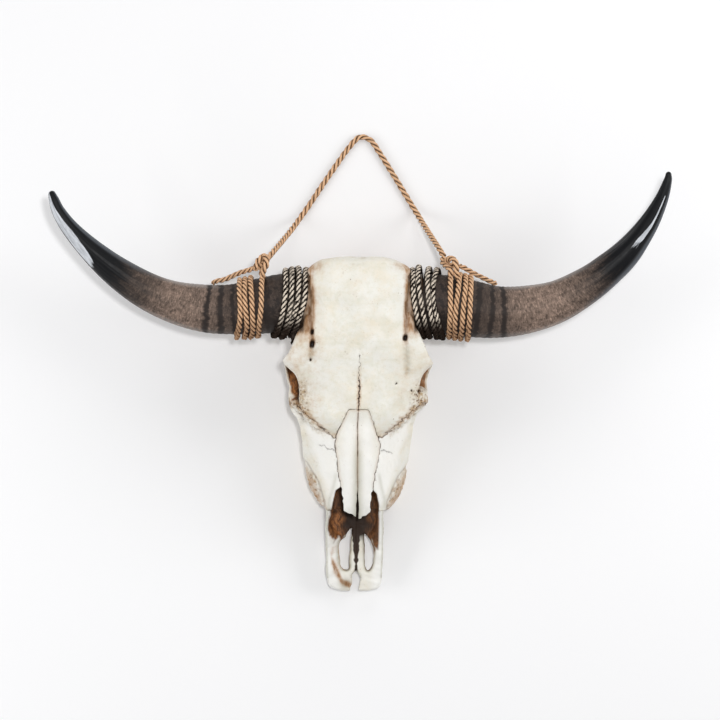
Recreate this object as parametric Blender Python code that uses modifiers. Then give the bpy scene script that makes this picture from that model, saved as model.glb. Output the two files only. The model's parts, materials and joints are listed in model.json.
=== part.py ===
"""A longhorn steer skull without its lower jaw, at life size, lying on its cheek teeth.

Metres, +Z up.  +X runs across the forehead, +Y from the muzzle to the poll.  The animal's own left
is +X.  Shapes are worked out in skull coordinates: x from the midline of the forehead, y from the
gap between the incisive bones, z from the floor.  One empty then puts the middle of the model's
footprint at the world's origin.
"""

import math

import bmesh
import bpy
import numpy as np
from mathutils import Matrix, Vector

# The whole skull
ORIGIN_X = 0.0011  # near the middle of the footprint without the rope, in skull coordinates
ORIGIN_Y = 0.3104
LEAN = 0.0020  # the face stands this far to -X of the forehead
LEAN_Y = (0.2500, 0.3000)  # and turns to there between these two places
ROLL = 0.0250  # its lower parts stand further to -X, by this share of their depth
ROLL_Z = 0.1300
GAP = 0.0004  # between neighbouring solids
DOUBLES = 0.000001  # points nearer than this are one point
FLAT = math.radians(0.5)  # faces that meet at less than this are one face
FAR = 0.3000  # how far a cutting prism reaches past the skull

# Face and braincase, lofted: y, half width, top, widest height, bottom, narrowing up and down
TRUNK = (
    (0.104, 0.0470, 0.109, 0.048, 0.024, 0.25, 0.10),
    (0.118, 0.0500, 0.115, 0.048, 0.024, 0.28, 0.10),
    (0.128, 0.0580, 0.121, 0.046, 0.024, 0.36, 0.10),
    (0.145, 0.0690, 0.129, 0.046, 0.024, 0.45, 0.10),
    (0.166, 0.0765, 0.137, 0.048, 0.024, 0.48, 0.10),
    (0.190, 0.0790, 0.144, 0.058, 0.024, 0.48, 0.12),
    (0.207, 0.0800, 0.148, 0.065, 0.025, 0.47, 0.15),
    (0.237, 0.0840, 0.155, 0.075, 0.028, 0.42, 0.25),
    (0.262, 0.0850, 0.160, 0.085, 0.034, 0.32, 0.35),
    (0.285, 0.0820, 0.165, 0.095, 0.042, 0.20, 0.40),
    (0.310, 0.0760, 0.168, 0.100, 0.048, 0.10, 0.50),
    (0.345, 0.0660, 0.172, 0.105, 0.050, 0.00, 0.50),
    (0.380, 0.0580, 0.176, 0.105, 0.048, 0.00, 0.45),
    (0.430, 0.0580, 0.178, 0.105, 0.046, 0.00, 0.40),
    (0.470, 0.0600, 0.174, 0.105, 0.044, 0.00, 0.35),
    (0.489, 0.0520, 0.164, 0.105, 0.050, 0.00, 0.30),
)
TRUNK_POWER = 0.80
# The frontal roof, a plate with a soft edge: y, half width, top, thickness
ROOF = (
    (0.240, 0.060, 0.150, 0.022),
    (0.258, 0.078, 0.158, 0.026),
    (0.276, 0.087, 0.162, 0.030),
    (0.304, 0.090, 0.167, 0.034),
    (0.325, 0.096, 0.172, 0.036),
    (0.345, 0.109, 0.176, 0.038),
    (0.358, 0.110, 0.179, 0.040),
    (0.372, 0.103, 0.182, 0.042),
    (0.399, 0.088, 0.184, 0.046),
    (0.420, 0.077, 0.186, 0.050),
    (0.465, 0.076, 0.186, 0.052),
    (0.485, 0.073, 0.182, 0.050),
    (0.493, 0.056, 0.174, 0.040),
    (0.4965, 0.032, 0.166, 0.024),
)
ROOF_POWER = 0.62
RING_POINTS = 28
SMOOTH_STEPS = 24  # samples between two given points of a smooth line
ROD_STATIONS = 12
KNOB_SEGMENTS = (14, 9)
RIM_SEGMENTS = (28, 10)
SOFTEN = 0.5
SOFTEN_TIMES = 3
SHARP_ANGLE = math.radians(40)

# Orbits
ORBIT = (0.0905, 0.3080, 0.1200)
ORBIT_RIM_RADIUS = 0.0360
ORBIT_RIM_THICK = 0.0068
ORBIT_TILT = math.radians(20)  # the socket looks up this much
ORBIT_YAW = math.radians(12)  # and forwards this much
ORBIT_HOLLOW = (0.0500, 0.0310, 0.0305)
ORBIT_HOLLOW_X = 0.0860

# Bars and knobs of bone at one side: (x, y, z, radius) along each bar
ZYGOMATIC_ARCH = (
    (0.076, 0.240, 0.074, 0.010),
    (0.0885, 0.268, 0.082, 0.010),
    (0.0995, 0.305, 0.087, 0.008),
    (0.1065, 0.338, 0.097, 0.009),
    (0.099, 0.374, 0.098, 0.007),
    (0.082, 0.404, 0.098, 0.009),
    (0.055, 0.432, 0.100, 0.012),
)
POSTORBITAL_BAR = (
    (0.1065, 0.338, 0.098, 0.0085),
    (0.1065, 0.348, 0.124, 0.0080),
    (0.1010, 0.350, 0.155, 0.0100),
)
JUGULAR_PROCESS = (
    (0.046, 0.472, 0.088, 0.016),
    (0.048, 0.468, 0.052, 0.013),
    (0.044, 0.461, 0.020, 0.009),
    (0.041, 0.458, -0.004, 0.0065),
)
SKULL_BASE = (
    (0.0, 0.296, 0.070, 0.016),
    (0.0, 0.360, 0.058, 0.017),
    (0.0, 0.430, 0.048, 0.021),
    (0.0, 0.480, 0.046, 0.020),
)
NUCHAL_CREST = (
    (-0.066, 0.478, 0.132, 0.010),
    (-0.040, 0.486, 0.158, 0.011),
    (0.0, 0.489, 0.166, 0.012),
    (0.040, 0.486, 0.158, 0.011),
    (0.066, 0.478, 0.132, 0.010),
)
FACIAL_CREST = (
    (0.066, 0.196, 0.062, 0.010),
    (0.074, 0.220, 0.067, 0.012),
    (0.082, 0.245, 0.074, 0.010),
)
# Rounded knobs at one side: middle, then radii
KNOBS = (
    ((0.027, 0.482, 0.044), (0.017, 0.018, 0.024)),  # occipital condyle
    ((0.031, 0.430, 0.046), (0.013, 0.020, 0.022)),  # ear bulla
    ((0.068, 0.404, 0.092), (0.024, 0.015, 0.013)),  # jaw joint
    ((0.024, 0.296, 0.050), (0.006, 0.038, 0.026)),  # pterygoid wing
    ((0.058, 0.448, 0.100), (0.018, 0.024, 0.034)),  # side of the occiput
    ((0.084, 0.290, 0.090), (0.020, 0.036, 0.013)),  # floor of the orbit
)

# Hollows cut from the mass of bone: middle, then radii
FORAMEN_MAGNUM = ((0.0, 0.500, 0.068), (0.018, 0.034, 0.017))
CHOANAE = ((0.0, 0.282, 0.046), (0.0165, 0.044, 0.018))
PALATE_VAULT = ((0.0, 0.180, 0.014), (0.037, 0.110, 0.017))

# Where the face parts from the braincase: the outline ahead of the suture, at the +X side
SUTURE_OUTLINE = ((0.036, 0.230), (0.095, 0.282), (FAR, 0.282))
SUTURE_LOW_Y = 0.268  # below the cheek, the jaw runs back to here
SUTURE_LOW_Z = 0.072
MUZZLE_Y = 0.118  # the jaw ends and the incisive bones begin here

# Nasal bones, the outline of the +X one from its tip round its outer edge
NASAL_OUTLINE = (
    (0.0022, 0.108),
    (0.0100, 0.1125),
    (0.0205, 0.118),
    (0.0225, 0.140),
    (0.0290, 0.174),
    (0.0335, 0.202),
    (0.0350, 0.220),
    (0.0300, 0.240),
    (0.0190, 0.266),
    (0.0165, 0.2725),
)
NASAL_THICK = 0.0070
NASAL_MIDDLE = 0.0004
NASAL_ROOM_Z = 0.0900
# The nasal opening: y, half width.  The hollow behind it: y, half width, lowest, highest
NOSE_OPENING = (
    (0.060, 0.0440),
    (0.098, 0.0425),
    (0.115, 0.0410),
    (0.132, 0.0370),
    (0.150, 0.0325),
    (0.157, 0.0240),
)
NOSE_HOLLOW = (
    (0.060, 0.0400, 0.034, 0.110),
    (0.110, 0.0400, 0.036, 0.112),
    (0.150, 0.0360, 0.038, 0.122),
    (0.190, 0.0300, 0.042, 0.134),
    (0.222, 0.0220, 0.052, 0.140),
)
NOSE_FLOOR_Z = 0.036
NOSE_NARROWING = 0.10

# Cheek teeth at one side: middle x, first y, length, width
TEETH = (
    (0.0470, 0.1260, 0.0165, 0.0160),
    (0.0495, 0.1425, 0.0185, 0.0190),
    (0.0520, 0.1610, 0.0190, 0.0210),
    (0.0540, 0.1800, 0.0235, 0.0235),
    (0.0550, 0.2035, 0.0270, 0.0245),
    (0.0550, 0.2305, 0.0290, 0.0235),
)
TOOTH_TOP_Z = 0.0400
TOOTH_BEVEL = 0.0022
TOOTH_OVERLAP = 0.0004

# Incisive bones: the outline of the +X one seen from above, its slot, and its side profile
INCISIVE_OUTLINE = (
    (0.0016, -0.0020),
    (0.0060, -0.0085),
    (0.0300, -0.0050),
    (0.0385, 0.0030),
    (0.0405, 0.0200),
    (0.0410, 0.0600),
    (0.0420, 0.0900),
    (0.0450, 0.1178),
    (0.0008, 0.1178),
    (0.0008, 0.0280),
    (0.0030, 0.0210),
    (0.0058, 0.0150),
)
SLOT_MIDDLE = (0.0185, 0.0560)
SLOT_RADII = (0.0075, 0.0300)
SLOT_POINTS = 14
INCISIVE_PROFILE = (
    (-0.0100, 0.0200),
    (-0.0100, 0.0300),
    (0.0100, 0.0360),
    (0.0600, 0.0500),
    (0.0900, 0.0680),
    (0.1178, 0.0930),
    (0.1178, 0.0230),
    (0.0600, 0.0240),
    (0.0150, 0.0180),
)
INCISIVE_SHELF_Z = 0.0350
OVER_SHELF = ((-0.02, -0.03), (0.0360, -0.03), (0.0400, 0.13), (-0.02, 0.13))
BROADER = 0.0055  # the right one is this much broader outside its slot
BROADER_X = (0.0250, 0.0360)
INCISIVE_INNER_X = 0.0006
INCISIVE_VOXEL = 0.0015
INCISIVE_TRIANGLES = 320

# Horns: x, y, z, radius along the middle of each, from inside the skull to the tip
HORN_LEFT = (
    (0.050, 0.4340, 0.128, 0.0445),
    (0.110, 0.4305, 0.130, 0.0435),
    (0.135, 0.4265, 0.130, 0.0418),
    (0.171, 0.4215, 0.129, 0.0408),
    (0.210, 0.4195, 0.127, 0.0390),
    (0.2535, 0.4230, 0.126, 0.0362),
    (0.2985, 0.4350, 0.127, 0.0320),
    (0.3464, 0.4610, 0.132, 0.0268),
    (0.3782, 0.4860, 0.138, 0.0236),
    (0.3985, 0.5050, 0.143, 0.0210),
    (0.4158, 0.5260, 0.148, 0.0178),
    (0.4346, 0.5544, 0.155, 0.0144),
    (0.4507, 0.5870, 0.162, 0.0098),
    (0.4590, 0.6128, 0.168, 0.0060),
    (0.4602, 0.6210, 0.170, 0.0042),
    (0.4606, 0.6255, 0.171, 0.0020),
)
HORN_RIGHT = (
    (-0.050, 0.4340, 0.128, 0.0445),
    (-0.110, 0.4320, 0.130, 0.0435),
    (-0.140, 0.4285, 0.130, 0.0415),
    (-0.186, 0.4230, 0.128, 0.0383),
    (-0.2265, 0.4230, 0.127, 0.0358),
    (-0.2715, 0.4320, 0.127, 0.0320),
    (-0.3165, 0.4495, 0.131, 0.0278),
    (-0.3568, 0.4750, 0.138, 0.0238),
    (-0.3982, 0.5084, 0.148, 0.0178),
    (-0.4290, 0.5409, 0.157, 0.0130),
    (-0.4467, 0.5667, 0.163, 0.0098),
    (-0.4552, 0.5885, 0.166, 0.0070),
    (-0.4572, 0.5945, 0.167, 0.0052),
    (-0.4580, 0.5978, 0.168, 0.0024),
)
HORNS = {"left": HORN_LEFT, "right": HORN_RIGHT}
HORN_SIDES = 16
HORN_STATIONS = 14
HORN_TIP_ROWS = 3  # the last rows of the table, which round the tip off, are rings of their own
HORN_SAMPLES = 400
CORE_STATIONS = 4
CORE_END_X = 0.0950  # the bony core runs on under the dark binding to here

# Bindings: first and last |x|, strands, slant of the outer end towards the muzzle
DARK_BINDING = {"left": (0.0800, 0.1235, 4, 0.0070), "right": (0.0820, 0.1275, 4, 0.0080)}
JUTE_BINDING = {"left": (0.1325, 0.1720, 4, 0.0010), "right": (0.1440, 0.1830, 4, 0.0010)}
DARK_STRAND = 0.0120
JUTE_STRAND = 0.0090
BINDING_CLEAR = 0.0006
INNER_END_CLEAR = 0.0020
ROOM_BEYOND = 0.0300  # the room cut for a dark binding runs so far past its outer end
RIDGE_FOOT = 0.55  # the height between two strands, as a share of a strand

# Rope hanger: its thickness, the knots, the tails over the horns, and the route
ROPE = 0.0088
KNOTS = {"left": (0.1370, 0.4920, 0.1440), "right": (-0.1460, 0.4880, 0.1500)}
KNOT_RADII = (0.0090, 0.0110, 0.0095)
KNOT_TURN = 0.0062
KNOT_SPREAD = 0.0042
KNOT_LEAN = math.radians(35)
TAILS = {
    "left": (
        (0.1492, 0.4885, 0.1378),
        (0.1570, 0.4850, 0.1330),
        (0.1750, 0.4752, 0.1280),
        (0.1980, 0.4645, 0.1220),
        (0.2075, 0.4612, 0.1120),
    ),
    "right": (
        (-0.1560, 0.4850, 0.1460),
        (-0.1620, 0.4820, 0.1400),
        (-0.1800, 0.4768, 0.1320),
        (-0.2000, 0.4680, 0.1270),
        (-0.2135, 0.4650, 0.1230),
        (-0.2210, 0.4616, 0.1120),
    ),
}
ROUTE = (
    (-0.1375, 0.4985, 0.1240),
    (-0.1290, 0.5105, 0.1060),
    (-0.1180, 0.5260, 0.0700),
    (-0.1060, 0.5430, 0.0330),
    (-0.0930, 0.5620, 0.0090),
    (-0.0780, 0.5835, 0.0049),
    (-0.0560, 0.6165, 0.0049),
    (-0.0330, 0.6500, 0.0049),
    (-0.0140, 0.6760, 0.0049),
    (0.0010, 0.6900, 0.0049),
    (0.0180, 0.6850, 0.0049),
    (0.0330, 0.6640, 0.0049),
    (0.0530, 0.6320, 0.0049),
    (0.0730, 0.5990, 0.0049),
    (0.0880, 0.5740, 0.0090),
    (0.0990, 0.5540, 0.0330),
    (0.1090, 0.5350, 0.0700),
    (0.1190, 0.5170, 0.1060),
    (0.1270, 0.5025, 0.1240),
)
ROPE_POINTS = 30
TAIL_POINTS = 12
TAIL_HORN_X = 0.3000  # the horn is cleared out of a tail as far as this
TAIL_HORN_STATIONS = 9

# Colours: base colour, roughness
FINISHES = {
    "bone": ((0.78, 0.74, 0.64), 0.62),
    "horn": ((0.11, 0.09, 0.08), 0.35),
    "dark_cord": ((0.09, 0.06, 0.04), 0.85),
    "jute": ((0.45, 0.28, 0.14), 0.90),
}
CORE_VOXEL = 0.0025
CORE_TRIANGLES = 1700
KNOT_VOXEL = 0.0015
KNOT_TRIANGLES = 220


# ---- scene and materials ---------------------------------------------------------------------


def clear_scene():
    for obj in list(bpy.data.objects):
        bpy.data.objects.remove(obj, do_unlink=True)


def new_collection(name):
    collection = bpy.data.collections.new(name)
    bpy.context.scene.collection.children.link(collection)
    return collection


def finish(name):
    """A Principled material, made once and shared by the pieces of the same stuff."""
    if name in bpy.data.materials:
        return bpy.data.materials[name]
    colour, roughness = FINISHES[name]
    material = bpy.data.materials.new(name)
    material.use_nodes = True
    shader = material.node_tree.nodes["Principled BSDF"]
    shader.inputs["Base Color"].default_value = (*colour, 1)
    shader.inputs["Roughness"].default_value = roughness
    return material


# ---- shapes ----------------------------------------------------------------------------------


def mesh_object(name, mesh):
    obj = bpy.data.objects.new(name, mesh)
    CUTTERS.objects.link(obj)
    return obj


def outward(bm):
    bmesh.ops.recalc_face_normals(bm, faces=bm.faces)


def from_bmesh(name, bm):
    mesh = bpy.data.meshes.new(name)
    bm.to_mesh(mesh)
    bm.free()
    return mesh_object(name, mesh)


def loft(name, rings, ring_shaped=False):
    """A skin over a row of rings of equal count: capped at both ends, or joined end to end."""
    rings = np.asarray(rings, float)
    rows, count, _ = rings.shape
    index = np.arange(rows * count).reshape(rows, count)
    if ring_shaped:
        index = np.vstack([index, index[:1]])
    around = np.roll(index, -1, axis=1)
    sides = np.stack([index[:-1], around[:-1], around[1:], index[1:]], axis=-1).reshape(-1, 4)
    faces = sides.tolist()
    if not ring_shaped:
        faces += [index[0].tolist(), index[-1, ::-1].tolist()]
    mesh = bpy.data.meshes.new(name)
    mesh.from_pydata(rings.reshape(-1, 3).tolist(), [], faces)
    bm = bmesh.new()
    bm.from_mesh(mesh)
    bpy.data.meshes.remove(mesh)
    outward(bm)
    return from_bmesh(name, bm)


def section(y, half_width, top, middle, bottom, narrow_up, narrow_down, power):
    """A rounded cross-section: a superellipse with unlike upper and lower halves."""
    angle = 2 * math.pi * (np.arange(RING_POINTS) + 0.5) / RING_POINTS
    across, up = np.cos(angle), np.sin(angle)
    rise = np.abs(up) ** power
    height = np.where(up > 0, middle + (top - middle) * rise, middle - (middle - bottom) * rise)
    narrowing = 1 - rise * np.where(up > 0, narrow_up, narrow_down)
    x = half_width * np.sign(across) * np.abs(across) ** power * narrowing
    return np.stack([x, np.full_like(x, y), height], axis=1)


def smooth_line(points, count):
    """Evenly spaced points on a Catmull-Rom curve through the given ones (any columns)."""
    points = np.asarray(points, float)
    padded = np.vstack([2 * points[0] - points[1], points, 2 * points[-1] - points[-2]])
    t = np.linspace(0, 1, SMOOTH_STEPS, endpoint=False)[:, None]
    pieces = []
    for a, b, c, d in zip(padded, padded[1:], padded[2:], padded[3:]):
        curve = 2 * b + (c - a) * t + (2 * a - 5 * b + 4 * c - d) * t**2
        pieces.append((curve + (3 * b - 3 * c + d - a) * t**3) / 2)
    line = np.vstack([*pieces, points[-1:]])
    steps = np.linalg.norm(np.diff(line[:, :3], axis=0), axis=1)
    along = np.concatenate([[0], np.cumsum(steps)])
    at = np.linspace(0, along[-1], count)
    return np.stack([np.interp(at, along, column) for column in line.T], axis=1)


def tube_curve(name, points, depth, radii=None, resolution=2):
    """A curve object with round section and filled caps on a many-pointed poly spline."""
    curve = bpy.data.curves.new(name, "CURVE")
    curve.dimensions = "3D"
    curve.bevel_depth = depth
    curve.bevel_resolution = resolution
    curve.use_fill_caps = True
    spline = curve.splines.new("POLY")
    spline.points.add(len(points) - 1)
    spline.points.foreach_set("co", np.c_[points, np.ones(len(points))].ravel())
    if radii is not None:
        spline.points.foreach_set("radius", np.asarray(radii, float))
    obj = bpy.data.objects.new(name, curve)
    CUTTERS.objects.link(obj)
    return obj


def as_mesh(obj):
    """The evaluated shape of an object as a new mesh object, with doubles merged; the old one goes."""
    bpy.context.view_layer.update()
    graph = bpy.context.evaluated_depsgraph_get()
    mesh = bpy.data.meshes.new_from_object(obj.evaluated_get(graph))
    name = obj.name
    bpy.data.objects.remove(obj)
    bm = bmesh.new()
    bm.from_mesh(mesh)
    bpy.data.meshes.remove(mesh)
    bmesh.ops.remove_doubles(bm, verts=bm.verts, dist=DOUBLES)
    outward(bm)
    return from_bmesh(name, bm)


def without_slivers(obj):
    """The same shape with its nearly flat faces run together and split again into rounder ones."""
    obj = as_mesh(obj)
    bm = bmesh.new()
    bm.from_mesh(obj.data)
    bmesh.ops.dissolve_limit(bm, angle_limit=FLAT, verts=bm.verts, edges=bm.edges)
    bmesh.ops.triangulate(bm, faces=bm.faces, quad_method="BEAUTY", ngon_method="BEAUTY")
    bm.to_mesh(obj.data)
    bm.free()
    return obj


def rod(name, stations):
    """A bar of bone whose thickness changes along its bent middle line."""
    line = smooth_line(stations, ROD_STATIONS)
    return as_mesh(tube_curve(name, line[:, :3], 1.0, line[:, 3], resolution=3))


def ellipsoid(name, middle, radii, turn=None):
    bm = bmesh.new()
    around, up = KNOB_SEGMENTS
    bmesh.ops.create_uvsphere(bm, u_segments=around, v_segments=up, radius=1)
    matrix = Matrix.Translation(middle) @ (turn or Matrix()) @ Matrix.Diagonal((*radii, 1))
    bmesh.ops.transform(bm, matrix=matrix, verts=bm.verts)
    return from_bmesh(name, bm)


def torus(name, middle, radius, thick, turn):
    major, minor = RIM_SEGMENTS
    bpy.ops.mesh.primitive_torus_add(
        major_radius=radius, minor_radius=thick, major_segments=major, minor_segments=minor
    )
    obj = bpy.context.object
    obj.name = name
    obj.data.transform(Matrix.Translation(middle) @ turn)
    for collection in list(obj.users_collection):
        collection.objects.unlink(obj)
    CUTTERS.objects.link(obj)
    return obj


def prism(name, outline, low, high):
    """An outline in the floor plane, carried straight up from low to high."""
    outline = np.asarray(outline, float)
    rings = [np.c_[outline, np.full(len(outline), z)] for z in (low, high)]
    return loft(name, rings)


def side_prism(name, outline, low, high):
    """An outline in the side view (y, z), carried straight across from x = low to x = high."""
    outline = np.asarray(outline, float)
    rings = [np.c_[np.full(len(outline), x), outline] for x in (low, high)]
    return loft(name, rings)


def mirrored(name, obj):
    """A copy of a shape at the other side of the midline."""
    bm = bmesh.new()
    bm.from_mesh(obj.data)
    bmesh.ops.transform(bm, matrix=Matrix.Diagonal((-1, 1, 1, 1)), verts=bm.verts)
    outward(bm)
    return from_bmesh(name, bm)


def both_sides(shape):
    return [shape, mirrored(shape.name + "_other", shape)]


def fuse(name, shapes, voxel, triangles):
    """Overlapping shapes run together into one soft skin, thinned to about so many triangles."""
    bm = bmesh.new()
    for shape in shapes:
        bm.from_mesh(shape.data)
        bpy.data.objects.remove(shape)
    whole = from_bmesh(name, bm)
    remesh = whole.modifiers.new("run together", "REMESH")
    remesh.mode = "VOXEL"
    remesh.voxel_size = voxel
    smooth = whole.modifiers.new("soften", "SMOOTH")
    smooth.factor = SOFTEN
    smooth.iterations = SOFTEN_TIMES
    whole = as_mesh(whole)
    thin = whole.modifiers.new("thin out", "DECIMATE")
    thin.ratio = triangles / (2 * len(whole.data.polygons))
    return as_mesh(whole)


def boolean(obj, operation, other):
    modifier = obj.modifiers.new(other.name, "BOOLEAN")
    modifier.operation = operation
    modifier.solver = "EXACT"
    modifier.object = other
    return obj


def cut(obj, *others):
    for other in others:
        boolean(obj, "DIFFERENCE", other)
    return obj


def keep(obj, other):
    return boolean(obj, "INTERSECT", other)


def join(obj, *others):
    for other in others:
        boolean(obj, "UNION", other)
    return obj


def leaned(obj):
    """The skull's own lopsidedness: its face stands, and its lower parts roll, to -X."""
    for vertex in obj.data.vertices:
        share = (LEAN_Y[1] - vertex.co.y) / (LEAN_Y[1] - LEAN_Y[0])
        share = min(1.0, max(0.0, share))
        vertex.co.x -= share * (LEAN + ROLL * max(0.0, ROLL_Z - vertex.co.z))
    return obj


def piece(name, obj, material):
    """Names a finished sub-part, gives it its material and moves it to the model's collection."""
    obj.name = name
    obj.data.name = name
    obj.data.materials.clear()
    obj.data.materials.append(finish(material))
    if obj.type == "MESH":
        obj.data.shade_smooth()
        obj.data.set_sharp_from_angle(angle=SHARP_ANGLE)
    CUTTERS.objects.unlink(obj)
    MODEL.objects.link(obj)
    return obj


# ---- the mass of the skull -------------------------------------------------------------------


def orbit_turn(side):
    yaw = Matrix.Rotation(side * -ORBIT_YAW, 4, "Z")
    return yaw @ Matrix.Rotation(side * (math.pi / 2 - ORBIT_TILT), 4, "Y")


def skull_core():
    """Everything of the head that is one mass before it is parted: one soft closed skin."""
    trunk = loft("trunk", [section(*row, TRUNK_POWER) for row in TRUNK])
    roof_rows = [(y, w, top, top - thick / 2, top - thick, 0.0, 0.0) for y, w, top, thick in ROOF]
    roof = loft("roof", [section(*row, ROOF_POWER) for row in roof_rows])
    shapes = [trunk, roof, rod("skull_base", SKULL_BASE), rod("nuchal_crest", NUCHAL_CREST)]
    shapes += both_sides(torus("rim", ORBIT, ORBIT_RIM_RADIUS, ORBIT_RIM_THICK, orbit_turn(1)))
    bars = {
        "arch": ZYGOMATIC_ARCH,
        "bar": POSTORBITAL_BAR,
        "jugular": JUGULAR_PROCESS,
        "crest": FACIAL_CREST,
    }
    for name, stations in bars.items():
        shapes += both_sides(rod(name, stations))
    for number, (middle, radii) in enumerate(KNOBS):
        shapes += both_sides(ellipsoid(f"knob_{number}", middle, radii))
    return fuse("core", shapes, CORE_VOXEL, CORE_TRIANGLES)


def ahead_of_suture(name, shift):
    """The room of the upper jaw: ahead of the sutures above, and of the cheek's end below."""
    right = [(-x, y + shift) for x, y in reversed(SUTURE_OUTLINE)]
    left = [(x, y + shift) for x, y in SUTURE_OUTLINE]
    front = [(FAR, -FAR), (-FAR, -FAR)]
    high = prism(name + "_high", right + left + front, SUTURE_LOW_Z - shift, FAR)
    low_outline = ((-FAR, SUTURE_LOW_Y + shift), (FAR, SUTURE_LOW_Y + shift), *front)
    low = prism(name, low_outline, -FAR, SUTURE_LOW_Z)
    return as_mesh(join(low, high))


def nasal_outline(grow):
    """The nasal bone's outline, moved outwards by grow at every point but the midline's."""
    outline = np.array(NASAL_OUTLINE)
    middle = outline.mean(axis=0)
    outline[:, 0] += grow
    outline[:, 1] += np.sign(outline[:, 1] - middle[1]) * grow
    inner = NASAL_MIDDLE - 1.5 * grow
    return [(inner, outline[0, 1]), *outline, (inner, outline[-1, 1])]


def under_nasals(name, depth):
    """The trunk again, smaller by this depth on every side: what lies below the nasal bones."""
    rows = [(y, w - depth, top - depth, *rest) for y, w, top, *rest in TRUNK]
    return loft(name, [section(*row, TRUNK_POWER) for row in rows])


def nasal_room(name, grow):
    """The shell of the snout inside a nasal bone's outline, as deep as the bone is thick."""
    room = prism(name, nasal_outline(grow), NASAL_ROOM_Z, FAR)
    return as_mesh(cut(room, under_nasals(name + "_under", NASAL_THICK + grow)))


def nose_cutters():
    """The open front of the nose, and the hollow that runs back from it under the nasal bones."""
    edge = [(w, y) for y, w in NOSE_OPENING]
    outline = [(-x, y) for x, y in edge] + edge[::-1]
    opening = prism("nose_opening", outline, NOSE_FLOOR_Z, FAR)
    narrowing = (NOSE_NARROWING, NOSE_NARROWING, TRUNK_POWER)
    rows = [
        section(y, w, high, (low + high) / 2, low, *narrowing) for y, w, low, high in NOSE_HOLLOW
    ]
    return [leaned(opening), leaned(loft("nose_hollow", rows))]


# ---- sub-parts -------------------------------------------------------------------------------


def horn_line(side):
    """Samples along a horn: its middle, its radius, and the two directions across it."""
    line = smooth_line(HORNS[side], HORN_SAMPLES)
    tangent = np.gradient(line[:, :3], axis=0)
    tangent /= np.linalg.norm(tangent, axis=1)[:, None]
    flat = np.cross([0.0, 0.0, 1.0], tangent)
    flat *= np.sign(tangent[:, :1])
    flat /= np.linalg.norm(flat, axis=1)[:, None]
    raised = np.cross(flat, tangent)
    raised *= np.sign(raised[:, 2:3])
    return line[:, :3], line[:, 3], flat, raised


def horn_surface(side, along, angle, lift):
    """Points over the horn at |x| = along, turned by angle from +Y towards +Z, lifted by lift."""
    middle, radius, flat, raised = horn_line(side)
    across = np.abs(middle[:, 0])

    def at(values):
        return np.stack([np.interp(along, across, column) for column in values.T], axis=-1)

    size = np.interp(along, across, radius) + lift
    direction = at(flat) * np.cos(angle)[..., None] + at(raised) * np.sin(angle)[..., None]
    return at(middle) + size[..., None] * direction


def round_horn(side, alongs, slant=0.0, lift=0.0):
    """Rings round a horn at these places along it, each tipped by the slant."""
    angle = np.linspace(0, 2 * math.pi, HORN_SIDES, endpoint=False)[None]
    along = np.asarray(alongs)[:, None] - slant * np.cos(angle)
    return horn_surface(side, along, np.broadcast_to(angle, along.shape), lift)


def horn(side):
    across = np.abs(horn_line(side)[0][:, 0])
    places = np.arange(len(across))
    tip = np.abs([row[0] for row in HORNS[side][-HORN_TIP_ROWS:]])
    first, last = np.interp((CORE_END_X + GAP, tip[0]), across, places)
    even = np.interp(np.linspace(first, last, HORN_STATIONS), places, across)
    alongs = np.concatenate([even, tip[1:]])
    return piece(f"horn_{side}", loft("horn", round_horn(side, alongs)), "horn")


def binding(side, kind, table, strand):
    """Turns of cord round a horn, as one closed ring with a ridge for each strand."""
    first, last, strands, slant = table[side]
    edges = 2 * strands + 1
    share = np.concatenate([np.linspace(0, 1, edges), [1.0, 0.5, 0.0]])
    ridge = np.where(np.arange(edges) % 2, strand, RIDGE_FOOT * strand)
    lift = np.concatenate([ridge, np.full(3, BINDING_CLEAR)])[:, None]
    rings = round_horn(side, first + (last - first) * share, slant, lift)
    material = {"dark": "dark_cord", "jute": "jute"}[kind]
    return piece(f"{kind}_binding_{side}", loft(kind, rings, ring_shaped=True), material)


def binding_room(side, table, strand, beyond):
    """The room that a binding and the horn in it take, with a gap, and so far past its outer end."""
    first, last, _, slant = table[side]
    alongs = (first - INNER_END_CLEAR, (first + last) / 2, last + beyond)
    return loft("room", round_horn(side, alongs, slant, strand + 2 * GAP))


def horn_core(side):
    alongs = np.linspace(abs(HORNS[side][0][0]), CORE_END_X, CORE_STATIONS)
    return loft(f"core_{side}", round_horn(side, alongs))


def orbit_hollows():
    middle = (ORBIT_HOLLOW_X, *ORBIT[1:])
    turn = Matrix.Rotation(-ORBIT_YAW, 4, "Z") @ Matrix.Rotation(-ORBIT_TILT, 4, "Y")
    return [leaned(shape) for shape in both_sides(ellipsoid("orbit", middle, ORBIT_HOLLOW, turn))]


def floor_block():
    corners = ((-FAR, -FAR), (FAR, -FAR), (FAR, 2 * FAR), (-FAR, 2 * FAR))
    return prism("below_floor", corners, -FAR, 0.0)


def copy_of(name, core):
    return mesh_object(name, core.data.copy())


def cranium(core, nasal_rooms):
    """Braincase, forehead, orbits, arches and the bony cores that the horns sit on."""
    bone = copy_of("cranium", core)
    cut(bone, ahead_of_suture("ahead_grown", GAP), *orbit_hollows(), *nasal_rooms)
    cut(bone, ellipsoid("foramen", *FORAMEN_MAGNUM), ellipsoid("choanae", *CHOANAE), floor_block())
    for side in HORNS:
        cut(bone, binding_room(side, DARK_BINDING, DARK_STRAND, ROOM_BEYOND))
    for side in HORNS:
        join(bone, horn_core(side))
    return piece("cranium", without_slivers(bone), "bone")


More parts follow.
